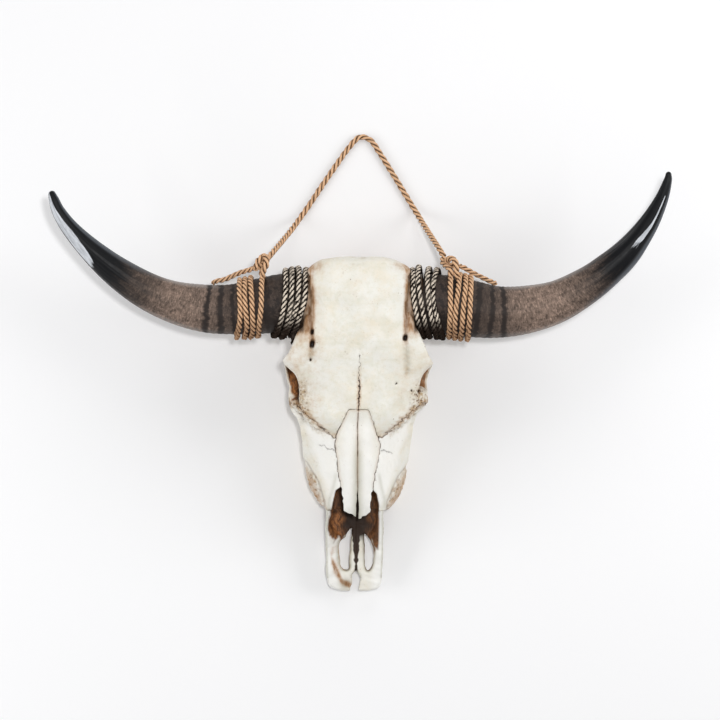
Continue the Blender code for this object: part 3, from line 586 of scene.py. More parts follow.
def loft(table, power):
    """A row of rounded cross-sections: with the height r from the widest place to the top (or to the
    bottom) and the width q there, both as shares, the skin is where q^(2/p) + r^(2/p) = 1."""
    table = np.asarray(table, float)
    low = (-table[:, 1].max(), table[0, 0], table[:, 4].min())
    high = (table[:, 1].max(), table[-1, 0], table[:, 2].max())

    def distance(x, y, z):
        rows = smooth_rows(table, y.ravel().astype(float)).astype(np.float32)
        width, top, middle, bottom, narrow_up, narrow_down = rows.T[:, None, :, None]
        up = z > middle
        rise = np.where(up, (z - middle) / (top - middle), (middle - z) / (middle - bottom))
        narrow = np.where(up, narrow_up, narrow_down)
        across = np.abs(x) / (width * np.maximum(1 - rise * narrow, 0.25))
        share = (across ** (2 / power) + rise ** (2 / power)) ** (power / 2) - 1
        steps = [float(axis.ravel()[1] - axis.ravel()[0]) for axis in (x, y, z)]
        slope = np.sqrt(sum(g * g for g in np.gradient(share, *steps)))
        skin = np.clip(share / np.maximum(slope, 2.0), -0.06, 0.2)
        return smooth_max(skin, np.maximum(low[1] - y, y - high[1]), END_BLEND)

    return low, high, distance


def rod(stations):
    """A bar whose thickness changes along its bent middle line: distance to the line less radius."""
    line = smooth_line(stations, ROD_STATIONS).astype(np.float32)
    low = (line[:, :3] - line[:, 3:]).min(axis=0)
    high = (line[:, :3] + line[:, 3:]).max(axis=0)

    def distance(x, y, z):
        best = np.float32(FAR)
        for start, end in zip(line, line[1:]):
            way = end - start
            px, py, pz = x - start[0], y - start[1], z - start[2]
            along = (px * way[0] + py * way[1] + pz * way[2]) / (way[:3] @ way[:3])
            along = np.clip(along, 0, 1)
            px, py, pz = px - along * way[0], py - along * way[1], pz - along * way[2]
            best = np.minimum(best, np.sqrt(px**2 + py**2 + pz**2) - start[3] - along * way[3])
        return best

    return low, high, distance


def turned(x, y, z, middle, turn):
    """Points as seen from the middle of a shape that this matrix has turned."""
    x, y, z = x - middle[0], y - middle[1], z - middle[2]
    return [turn[0, i] * x + turn[1, i] * y + turn[2, i] * z for i in range(3)]


def ellipsoid(middle, radii, turn=np.eye(3)):
    """Distance by k0 (k0 - 1) / k1, with k0 the length in radii and k1 its slope."""
    reach = np.abs(turn) @ np.array(radii)

    def distance(x, y, z):
        at = turned(x, y, z, middle, turn)
        k0 = np.sqrt(sum((v / r) ** 2 for v, r in zip(at, radii)))
        k1 = np.sqrt(sum((v / r**2) ** 2 for v, r in zip(at, radii)))
        return k0 * (k0 - 1) / np.maximum(k1, 1.0)

    return np.array(middle) - reach, np.array(middle) + reach, distance


def ring(middle, radius, thick, turn):
    """A torus: distance from a circle, less the thickness."""
    reach = np.full(3, radius + thick)

    def distance(x, y, z):
        x, y, z = turned(x, y, z, middle, turn)
        return np.sqrt((np.sqrt(x**2 + y**2) - radius) ** 2 + z**2) - thick

    return np.array(middle) - reach, np.array(middle) + reach, distance


def both(shape):
    """A shape and its mirror image at the other side."""
    low, high, distance = shape
    image = (-high[0], *low[1:]), (-low[0], *high[1:]), lambda x, y, z: distance(-x, y, z)
    return [shape, image]


def line_distance(x, y, points):
    """Distance in the floor plane to a bent line."""
    nearest = np.float32(FAR)
    for (ax, ay), (bx, by) in zip(points, points[1:]):
        wx, wy = bx - ax, by - ay
        share = np.clip(((x - ax) * wx + (y - ay) * wy) / (wx * wx + wy * wy), 0, 1)
        nearest = np.minimum(nearest, np.hypot(x - ax - share * wx, y - ay - share * wy))
    return nearest


def outline_distance(x, y, outline):
    """Distance in the floor plane to a closed outline, below zero inside it: where a way to +X
    crosses the outline an odd number of times."""
    outline = np.asarray(outline, np.float32)[[*range(len(outline)), 0]]
    inside = False
    for (ax, ay), (bx, by) in zip(outline, outline[1:]):
        if ay != by:
            inside ^= ((ay > y) != (by > y)) & (x < ax + (y - ay) * (bx - ax) / (by - ay))
    nearest = line_distance(x, y, outline)
    return np.where(inside, -nearest, nearest)


class Bone:
    """Distances to the skin of a bone on a regular grid of points, below zero inside."""

    def __init__(self, low, high, step):
        self.low, self.step = np.array(low, float), step
        counts = np.ceil((np.array(high) - self.low) / step).astype(int) + 1
        self.axes = [(a + step * np.arange(n)).astype(np.float32) for a, n in zip(low, counts)]
        self.value = np.full(counts, FAR, np.float32)
        self.everywhere = (np.array(low) - FAR, np.array(high) + FAR)

    def change(self, shape, how):
        """New distances, from the old ones and the shape's, round the shape."""
        low, high, distance = shape
        cuts = tuple(
            slice(*np.searchsorted(axis, (a - REACH, b + REACH)))
            for axis, a, b in zip(self.axes, low, high)
        )
        if min(self.value[cuts].shape) > 1:
            x, y, z = (axis[part] for axis, part in zip(self.axes, cuts))
            new = distance(x[:, None, None], y[None, :, None], z[None, None, :])
            self.value[cuts] = how(self.value[cuts], new)

    def join(self, shape, blend):
        """The bone with a shape added: the smaller distance."""
        self.change(shape, lambda old, new: smooth_min(old, new, blend))

    def cut(self, shape, blend):
        """The bone without a shape: the larger of its distance and the shape's, negated."""
        self.change(shape, lambda old, new: smooth_max(old, -new, blend))

    def keep(self, distance, blend):
        """Only what is inside this distance too."""
        self.change((*self.everywhere, distance), lambda old, new: smooth_max(old, new, blend))

    def swell(self, amount):
        """The skin moves out by amount(x, y, z)."""
        self.change((*self.everywhere, amount), lambda old, new: old - new)

    def roughen(self, seed, large, small):
        """Two sizes of swell, by these heights."""

        def swells(*at):
            return large * ripple(*at, 0.034, seed) + small * ripple(*at, 0.011, seed + 1)

        self.swell(swells)

    def sample(self, places):
        """The distances at places in grid units, straight between the grid's points."""
        top = np.array(self.value.shape) - 2
        base = np.clip(np.floor(places).astype(int), 0, top)
        part = np.clip(places - base, 0, 1)
        total = 0
        for corner in np.ndindex(2, 2, 2):
            weight = np.prod(np.where(corner, part, 1 - part), axis=1)
            total = total + weight * self.value[tuple((base + corner).T)]
        return total

    def slope(self, places):
        """How the distance grows along x, y and z: its difference from half a cell before a place to
        half a cell past it."""
        steps = 0.5 * np.eye(3)
        both_ways = [self.sample(places + step) - self.sample(places - step) for step in steps]
        return np.stack(both_ways, axis=1)

    def skin(self):
        """A net over the zero level: one point in each cell that the skin crosses, at the middle of
        the crossings of its edges and then moved onto the level, and one face across each edge."""
        shape = np.array(self.value.shape)
        inside = self.value < 0
        crossings, cells, turned_round = [], [], []
        for axis in range(3):
            i = np.argwhere(np.delete(inside, -1, axis) != np.delete(inside, 0, axis))
            b, c = (axis + 1) % 3, (axis + 2) % 3
            i = i[np.all((i[:, [b, c]] > 0) & (i[:, [b, c]] < shape[[b, c]] - 1), axis=1)]
            j = i.copy()
            j[:, axis] += 1
            first, second = self.value[tuple(i.T)], self.value[tuple(j.T)]
            crossing = i.astype(float)
            crossing[:, axis] += first / (first - second)
            around = []
            for back in ((0, 0), (1, 0), (1, 1), (0, 1)):
                cell = i.copy()
                cell[:, [b, c]] -= back
                around.append(np.ravel_multi_index(cell.T, shape))
            crossings.append(crossing)
            cells.append(np.stack(around, axis=1))
            turned_round.append(first > 0)
        _, index = np.unique(np.vstack(cells).ravel(), return_inverse=True)
        count = np.bincount(index)
        spread = np.repeat(np.vstack(crossings), 4, axis=0)
        places = np.stack([np.bincount(index, column) / count for column in spread.T], axis=1)
        faces = index.reshape(-1, 4)
        faces = np.where(np.concatenate(turned_round)[:, None], faces[:, ::-1], faces)
        for _ in range(2):
            slope = self.slope(places)
            size = np.maximum((slope**2).sum(axis=1, keepdims=True), 1e-10)
            move = -self.sample(places)[:, None] * slope / size
            length = np.linalg.norm(move, axis=1, keepdims=True)
            places = places + move * np.minimum(1, MOST_MOVE / np.maximum(length, 1e-9))
        slope = self.slope(places)
        normals = slope / np.maximum(np.linalg.norm(slope, axis=1, keepdims=True), 1e-9)
        return places, faces, normals

    def hollowness(self, places, normals):
        """How shut in each place is, from 0 to 1: what is missing from the free way outwards."""
        total = 0
        for far in (0.003, 0.008, 0.020):
            free = self.sample(places + normals * far / self.step) / far
            total = total + np.clip(1 - free, 0, 1.5) / 3
        return np.clip(total, 0, 1)


def leaned(points):
    """The skull's lopsidedness: its face stands, and its lower parts roll, to -X."""
    share = np.clip((LEAN_Y[1] - points[:, 1]) / (LEAN_Y[1] - LEAN_Y[0]), 0, 1)
    moved = points.copy()
    moved[:, 0] -= share * (LEAN + ROLL * np.maximum(0, ROLL_Z - points[:, 2]))
    return moved


# ---- meshes ----------------------------------------------------------------------------------


def new_piece(name, node, slot, material, points, faces, marks):
    """A smooth mesh at the world's origin from skull coordinates, with its marks as attributes."""
    mesh = bpy.data.meshes.new(name)
    points = np.asarray(points, float) - ORIGIN
    mesh.vertices.add(len(points))
    mesh.vertices.foreach_set("co", points.astype(np.float32).ravel())
    corners = np.concatenate([np.ravel(f) for f in faces]).astype(np.int32)
    sizes = np.concatenate([np.full(len(f), np.shape(f)[1]) for f in faces])
    starts = np.concatenate([[0], np.cumsum(sizes)[:-1]]).astype(np.int32)
    mesh.loops.add(len(corners))
    mesh.loops.foreach_set("vertex_index", corners)
    mesh.polygons.add(len(sizes))
    mesh.polygons.foreach_set("loop_start", starts)
    for mark, values in marks.items():
        values = np.asarray(values, np.float32)
        kind, key = ("FLOAT", "value") if values.ndim == 1 else ("FLOAT_VECTOR", "vector")
        mesh.attributes.new(mark, kind, "POINT").data.foreach_set(key, values.ravel())
    mesh.update(calc_edges=True)
    mesh.shade_smooth()
    mesh.materials.append(material)
    piece = bpy.data.objects.new(name, mesh)
    bpy.context.scene.collection.objects.link(piece)
    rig.ride(piece, "root")
    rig.slot(piece, slot)
    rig.replaces(piece, node)
    return piece


def tube(points, marks):
    """Rows of points as a closed tube: the points, quads with one face over each end, and its marks,
    each a number or three for every place."""
    shape = points.shape[:2]
    index = np.arange(shape[0] * shape[1]).reshape(shape)
    first, last = index[0], index[-1]
    index = np.hstack([index, index[:, :1]])
    quads = np.stack([index[:-1, :-1], index[:-1, 1:], index[1:, 1:], index[1:, :-1]], axis=-1)
    spread = {}
    for key, values in marks.items():
        if isinstance(values, tuple):
            spread[key] = np.stack([np.broadcast_to(v, shape).ravel() for v in values], axis=1)
        else:
            spread[key] = np.broadcast_to(values, shape).ravel()
    return points.reshape(-1, 3), [quads.reshape(-1, 4), np.stack([first[::-1], last])], spread


def merged(*parts):
    """Several (points, faces, marks) as one."""
    points, faces, marks, start = [], [], {}, 0
    for own_points, own_faces, own_marks in parts:
        points.append(own_points)
        faces += [f + start for f in own_faces]
        for key, values in own_marks.items():
            marks.setdefault(key, []).append(values)
        start += len(own_points)
    return np.vstack(points), faces, {k: np.concatenate(v) for k, v in marks.items()}


# ---- cords -----------------------------------------------------------------------------------

TOWARD_FACE_Y = (0.411, 0.386)  # cords darken between these, towards the face
TOWARD_FACE_X = (0.22, 0.19)
PLY_OVERLAP = 1.06
COLUMNS_PER_PLY = 8
WOBBLE_SIZES = (0.043, 0.017, 0.011)
CORD_STEP = 0.0012  # between two rings of points round a winding
RUN_ON = 120  # degrees by which a winding goes on past its first and its last given place
SAMPLES_PER_TURN = 400


def soil(points):
    """How dirty a cord is at these points, from 0 to 1."""
    return ease(points[..., 1], *TOWARD_FACE_Y) * ease(np.abs(points[..., 0]), *TOWARD_FACE_X)


def twisted_cord(line, outward, thick, plies, pitch, seed, taper=0.0):
    """A cord of round plies laid round each other.  Round the line, at an angle a from the nearest
    ply's middle, the skin stands at d cos a + sqrt(r^2 - d^2 sin^2 a), and the whole turns once in
    each pitch.  It gives the points row by row, faces, and marks for its colours."""
    d = 1 / (1 + PLY_OVERLAP * math.sin(math.pi / plies))
    r = 1 - d

    def skin(angle):
        return d * np.cos(angle) + np.sqrt(np.maximum(r * r - (d * np.sin(angle)) ** 2, 0))

    tangent = unit(np.gradient(line, axis=0))
    first = unit(outward - (outward * tangent).sum(axis=1, keepdims=True) * tangent)
    second = np.cross(tangent, first)
    share = (np.arange(plies * COLUMNS_PER_PLY) + 0.5) / COLUMNS_PER_PLY
    ply, within = np.floor(share), share % 1 - 0.5
    within = np.sign(within) * np.abs(2 * within) ** 0.8 / 2  # columns crowd towards the grooves
    angle = 2 * np.pi * (ply + 0.5 + within) / plies
    profile, valley = skin(2 * np.pi * within / plies), skin(math.pi / plies)
    along = travelled(line)
    rng = np.random.default_rng(seed)
    wobble = sum(np.sin(along * (2 * np.pi / size) + rng.uniform(0, 6.28)) for size in WOBBLE_SIZES)
    size = thick / 2 * (1 + 0.018 * wobble)
    if taper:
        size = size * np.sqrt(np.clip(np.minimum(along, along[-1] - along) / taper, 0.02, 1))
    along = along[:, None]
    theta = 2 * np.pi * along / pitch + angle
    c, s = np.cos(theta), np.sin(theta)
    yarn = 1 + 0.02 * np.sin(2 * np.pi * (along / (0.28 * pitch) + 3 * within))
    lumps = ripple(along, 0.004 * c, 0.004 * s, 0.0075, seed)
    radius = size[:, None] * profile * yarn * (1 + 0.2 * soil(line)[:, None] * lumps)
    way = c[..., None] * first[:, None] + s[..., None] * second[:, None]
    points = line[:, None] + radius[..., None] * way
    marks = {
        "soil": soil(points),
        "crest": (profile - valley) / (1 - valley),
        "proud": c,
        "straight": (along, np.cos(angle) * radius, np.sin(angle) * radius),
        "fibre": along / pitch * 3.4 + within * 1.1 + 7.3 * ply,
    }
    return tube(points, marks)


def horn_line(side):
    """Samples along a horn: its middle, its radius, and the two directions across it."""
    line = smooth_line(HORN_LINES[side], HORN_SAMPLES)
    tangent = unit(np.gradient(line[:, :3], axis=0))
    flat = unit(np.cross([0.0, 0.0, 1.0], tangent) * np.sign(tangent[:, :1]))
    raised = np.cross(flat, tangent)
    return line[:, :3], line[:, 3], flat, raised * np.sign(raised[:, 2:3])


def horn_surface(side, along, angle, lift):
    """Points over the horn at |x| = along, turned by angle from +Y towards +Z, lifted by lift."""
    middle, radius, flat, raised = horn_line(side)
    rows = columns_at(along, np.abs(middle[:, 0]), np.c_[middle, radius, flat, raised])
    way = rows[:, 4:7] * np.cos(angle)[:, None] + rows[:, 7:] * np.sin(angle)[:, None]
    return rows[:, :3] + (rows[:, 3] + lift)[:, None] * way, way


def winding(side, turns, thick, seed):
    """A cord's middle line round and round a horn: its |x| and its height over the horn are curves
    of the angle, through the given places of each turn; it starts and ends under its neighbours."""
    rows = []
    for number, turn in enumerate(turns):
        lifts = turn[len(TURN_ANGLES) :] or (0.0,) * len(TURN_ANGLES)
        rows += [(360 * number + a, x, lift) for a, x, lift in zip(TURN_ANGLES, turn, lifts)]
    spacing = thick / 2
    first = (rows[0][0] - RUN_ON, rows[0][1] - 0.2 * spacing, -0.7)
    last = (rows[-1][0] + RUN_ON, rows[-1][1] - 0.5 * spacing, -0.9)
    angles = np.linspace(first[0], last[0], SAMPLES_PER_TURN * len(turns))
    across, lift = smooth_rows([first, *rows, last], angles).T
    phase = np.random.default_rng(seed).uniform(0, 6.28, 4)
    radians = np.radians(angles)
    across = across + 0.0004 * np.sin(1.7 * radians + phase[0])
    across = across + 0.0003 * np.sin(4.3 * radians + phase[1])
    height = thick * (0.48 + lift) + 0.0002 * np.sin(3.1 * radians + phase[2])
    along = across
    for _ in range(3):
        points, outward = horn_surface(side, along, radians, height)
        along = along + across - np.abs(points[:, 0])
    far = travelled(points)
    at = np.linspace(0, far[-1], int(far[-1] / CORD_STEP))
    return np.hsplit(columns_at(at, far, np.hstack([points, outward])), 2)


# ---- shader maths ----------------------------------------------------------------------------


def math_method(operation, reflected=False):
    """A method for an operation on two numbers, with the other one first where it is reflected."""

    def method(self, other):
        return self.math(operation, other, self) if reflected else self.math(operation, self, other)

    return method


class Number:
    """A number that changes over a surface; the usual operators on it add Math nodes."""

    def __init__(self, sheet, socket):
        self.sheet, self.socket = sheet, socket

    def math(self, operation, *values, clamp=False):
        """One operation on numbers, as a node."""
        settings = {"operation": operation, "use_clamp": clamp}
        return self.sheet.node("ShaderNodeMath", settings, dict(enumerate(values)))

    __add__, __radd__ = math_method("ADD"), math_method("ADD", reflected=True)
    __sub__, __rsub__ = math_method("SUBTRACT"), math_method("SUBTRACT", reflected=True)
    __mul__, __rmul__ = math_method("MULTIPLY"), math_method("MULTIPLY", reflected=True)
    __truediv__ = math_method("DIVIDE")
    least, most = math_method("MINIMUM"), math_method("MAXIMUM")

    def __abs__(self):
        """Its size without its sign."""
        return self.math("ABSOLUTE", self)

    def sine(self):
        """Its sine, from radians."""
        return self.math("SINE", self)

    def held(self):
        """Held between 0 and 1."""
        return self.math("ADD", self, 0.0, clamp=True)

    def step(self, start, end):
        """0 before start and 1 past end, easing between; start may be the larger."""
        sockets = {"Value": self, "From Min": start, "From Max": end}
        if start > end:
            sockets = {"Value": 0 - self, "From Min": -start, "From Max": -end}
        return self.sheet.node("ShaderNodeMapRange", {"interpolation_type": "SMOOTHSTEP"}, sockets)


class Sheet:
    """One material's nodes, and its colour so far."""

    def __init__(self, name, **constants):
        self.material = bpy.data.materials.new(name)
        self.material.use_nodes = True
        self.tree = self.material.node_tree
        self.inputs = self.tree.nodes["Principled BSDF"].inputs
        self.tint = None
        for socket, value in constants.items():
            self.inputs[socket.replace("_", " ")].default_value = value

    def node(self, kind, settings, sockets, output=0):
        """A node of this kind: its settings first, then the values or links of its sockets."""
        node = self.tree.nodes.new(kind)
        for key, value in settings.items():
            setattr(node, key, value)
        for key, value in sockets.items():
            if isinstance(value, Number):
                self.tree.links.new(value.socket, node.inputs[key])
            else:
                node.inputs[key].default_value = value
        return Number(self, node.outputs[output])

    def mark(self, name, output="Fac"):
        """What a piece's points carry under a name."""
        settings = {"attribute_name": name, "attribute_type": "GEOMETRY"}
        return self.node("ShaderNodeAttribute", settings, {}, output)

    def place(self):
        """Where a point is, in the object's own coordinates."""
        return self.node("ShaderNodeTexCoord", {}, {}, "Object")

    def parts(self, vector):
        """A vector's three numbers."""
        first = self.node("ShaderNodeSeparateXYZ", {}, {0: vector})
        return [Number(self, output) for output in first.socket.node.outputs]

    def vector(self, operation, first, second=(0.0, 0.0, 0.0), output=0):
        """One operation on two vectors, as a node."""
        return self.node("ShaderNodeVectorMath", {"operation": operation}, {0: first, 1: second}, output)

    def scaled(self, vector, number):
        """A vector times a number."""
        return self.node("ShaderNodeVectorMath", {"operation": "SCALE"}, {0: vector, "Scale": number})

    def stretched(self, vector, *by):
        """A vector times one number each for x, y and z."""
        return self.vector("MULTIPLY", vector, by)

    def noise(self, vector, scale, detail=3.0, rough=0.55, distortion=0.0, output="Fac"):
        """Cloudy noise about 0.5, with as many blots in a metre as its scale."""
        sockets = {"Vector": vector, "Scale": scale, "Detail": detail, "Roughness": rough}
        sockets["Distortion"] = distortion
        return self.node("ShaderNodeTexNoise", {}, sockets, output)

    def cells(self, vector, scale):
        """How far it is to the nearest of scattered dots, in spaces between dots."""
        return self.node("ShaderNodeTexVoronoi", {}, {"Vector": vector, "Scale": scale}, "Distance")

    def mix(self, share, *ends):
        """From the first colour to the second by a share."""
        first, second = (end if isinstance(end, Number) else (*end[:3], 1) for end in ends)
        return self.node("ShaderNodeMix", {"data_type": "RGBA"}, {0: share, 6: first, 7: second}, 2)

    def paint(self, share, colour):
        """Lays a colour over the tint so far, by a share."""
        self.tint = self.mix(share, self.tint, colour)

    def shaken(self, vector, scale, amount):
        """The same places, moved about by up to half this amount."""
        moves = self.noise(vector, scale, 2.0, output="Color")
        moves = self.vector("SUBTRACT", moves, (0.5, 0.5, 0.5))
        return self.vector("ADD", vector, self.scaled(moves, amount))

    def line(self, flat_place, points):
        """Distance to a bent line in the floor plane: for each straight part, the length of what is
        left of the way from its start once its share along the part is taken off."""
        nearest = None
        for a, b in zip(points, points[1:]):
            way = np.subtract(b, a)
            off = self.vector("SUBTRACT", flat_place, (*a, 0.0))
            dot = self.vector("DOT_PRODUCT", off, (*way, 0.0), "Value")
            share = dot.math("MULTIPLY", dot, float(1 / (way @ way)), clamp=True)
            part = self.scaled(self.node("ShaderNodeCombineXYZ", {}, {0: way[0], 1: way[1]}), share)
            far = self.vector("LENGTH", self.vector("SUBTRACT", off, part), output="Value")
            nearest = far if nearest is None else nearest.least(far)
        return nearest

    def finish(self, roughness, height, distance, strength):
        """Joins the tint, the roughness and a bump of this height to the shader."""
        self.tree.links.new(self.tint.socket, self.inputs["Base Color"])
        self.tree.links.new(roughness.socket, self.inputs["Roughness"])
        sockets = {"Height": height, "Distance": distance, "Strength": strength}
        bump = self.node("ShaderNodeBump", {}, sockets)
        self.tree.links.new(bump.socket, self.inputs["Normal"])
        return self.material


def linear(red, green, blue):
    """A colour as seen on a screen, from 0 to 255, as the share of light it gives back."""
    shares = np.array([red, green, blue]) / 255
    return tuple(np.where(shares < 0.04045, shares / 12.92, ((shares + 0.055) / 1.055) ** 2.4))


def shaded(colour, share):
    """A darker or a lighter one of the same hue."""
    return tuple(min(1.0, share * value) for value in colour)


# ---- user settings ---------------------------------------------------------------------------


def colour_setting(name, description, *screen):
    """A colour that a user can change, given as it is seen on a screen."""
    return bpy.props.FloatVectorProperty(
        name=name, description=description, subtype="COLOR", size=3, min=0, max=1,
        default=linear(*screen),
    )


def size_setting(name, description, default):
    """A length in metres that a user can change."""
    return bpy.props.FloatProperty(
        name=name, description=description, default=default, min=0.0001, unit="LENGTH", precision=4
    )


class SkullColours(bpy.types.PropertyGroup):
    """Colours of the skull, its horns and its cords."""

    bone: colour_setting("Bone", "Clean bone", 238, 236, 228)
    # The whitest bone, laid on as painted highlights
    bone_pale: colour_setting("Bone pale", "Whitest patches of bone", 255, 254, 250)
    # Also, darkened, the tint of grey-green painted shade
    bone_shade: colour_setting("Bone shade", "Greyer, greener patches of bone", 214, 212, 190)
    bone_warm: colour_setting("Bone warm", "Yellower patches of bone", 236, 224, 200)
    # Orange-brown of stains, which also stands for painted shade beside the bindings, in the eye sockets, over the
    # forehead's sides, under the jaw and on walls that face the midline
    stain: colour_setting("Stain", "Orange-brown stains beside the bindings and teeth", 176, 128, 78)
    rough_bone: colour_setting("Rough bone", "Golden brown of rough, pitted bone", 166, 134, 84)
    # Brown of dirt and pits, and also of the shade painted in hollows, creases and grooves
    dirt_and_shade: colour_setting("Dirt", "Brown in grooves and rough places", 112, 76, 46)
    crack: colour_setting("Crack", "Cracks and seams between bones", 58, 36, 22)
    # Dark brown painted shade inside the nose and eye sockets and under the nasal bones
    nose: colour_setting("Nose", "Inside of the nose", 50, 31, 17)
    # Orange-brown painted light on the walls of the nose and eye sockets
    nose_lit: colour_setting("Nose lit", "Orange-brown walls of the nose and eye sockets", 188, 124, 72)
    enamel: colour_setting("Enamel", "Crowns of the cheek teeth", 232, 222, 196)
    horn: colour_setting("Horn", "Grey-brown middle of the horns", 128, 109, 97)
    horn_dark: colour_setting("Horn dark", "Bands near the base of the horns", 46, 39, 36)
    horn_tip: colour_setting("Horn tip", "Black ends of the horns", 15, 17, 22)
    # The pale of the painted highlights near the tips
    horn_worn: colour_setting("Horn worn", "Pale worn bands near the tips", 214, 218, 224)
    jute: colour_setting("Jute", "Crests of the jute rope", 234, 190, 150)
    # Painted shade in the grooves between the jute's plies
    jute_deep: colour_setting("Jute deep", "Grooves of the jute rope", 72, 42, 24)
    dark_cord: colour_setting("Dark cord", "Grooves of the dark binding", 26, 17, 12)
    dark_cord_crest: colour_setting("Dark cord crest", "Rubbed crests of the dark cord", 236, 222, 204)
    floor: colour_setting("Floor", "The pale floor", 251, 251, 252)


class SkullSizes(bpy.types.PropertyGroup):
    """Sizes of the skull's detail."""

    cranium_cell: size_setting("Cranium cell", "Width of a face on the cranium", 0.002)
    jaw_cell: size_setting("Jaw cell", "Width of a face on the upper jaw", 0.0017)
    fine_cell: size_setting("Fine cell", "Width of a face on the small bones", 0.0009)
    rope: size_setting("Rope", "Thickness of the jute rope", ROPE)
    rope_pitch: size_setting("Rope pitch", "Length of one whole turn of the rope's plies", 0.034)
    jute: size_setting("Jute strand", "Thickness of the cord wound outside", 0.0083)
    jute_pitch: size_setting("Jute pitch", "Length of one whole turn of that cord's plies", 0.026)
    dark: size_setting("Dark strand", "Thickness of the dark cord", 0.0098)
    dark_pitch: size_setting("Dark pitch", "Length of one whole turn of the dark cord's plies", 0.035)


def sizes():
    """The sizes as a user has set them."""
    return bpy.context.scene.skull_sizes


def colours():
    """The colours as a user has set them."""
    return bpy.context.scene.skull_colours


# ---- materials -------------------------------------------------------------------------------

# Dark bands round each horn: |x| and half width
HORN_BANDS = {
    1: ((0.1755, 0.0055), (0.1958, 0.0046), (0.2147, 0.0044)),
    -1: ((0.186, 0.004), (0.2051, 0.005), (0.226, 0.0036)),
}
BLACK_FROM = {1: 0.316, -1: 0.3}  # |x| where each horn starts to turn black
DUSK = {1: 0.32, -1: 0.55}  # how dark it is before that
MIDLINE_CRACK = ((0.0005, 0.357), (0.0018, 0.342), (-0.0004, 0.326), (0.001, 0.305), (0.0, 0.272))
SQUIGGLES = (
    ((-0.057, 0.219), (-0.05, 0.216), (-0.036, 0.21)),
    ((0.036, 0.212), (0.051, 0.206)),
)
# For each kind of cord: its material, the colours of its crests and grooves, from where to where a
# crest is pale, how patchy and how hairy it is, how much it darkens towards the face, how far it is
# rubbed, and on which sides
CORD_LOOKS = {
    "dark_cord": (
        "dark_cord_worn", "dark_cord_crest", "dark_cord", (0.62, 0.92), 1.9, 0.4, 1.0, 0.97,
        (0.5, 0.92),
    ),
    "jute": ("jute_rope", "jute", "jute_deep", (0.22, 0.92), 0.9, 0.6, 0.3, 0.6, (-0.1, 0.7)),
}
# Greys of painted sheen on the horns' edges and flanks, and the darker grey in their painted highlights
EDGE_SHEEN_GREY, FLANK_SHEEN_GREY, HIGHLIGHT_GREY = (0.5, 0.48, 0.46), (0.16, 0.18, 0.21), (0.42, 0.44, 0.47)
# Marks that the bones' material reads, besides those that every bone has; 0 where it says nothing
MARKS = ("stain", "inner", "lit", "rough", "enamel", "hole", "pale", "green", "crease")


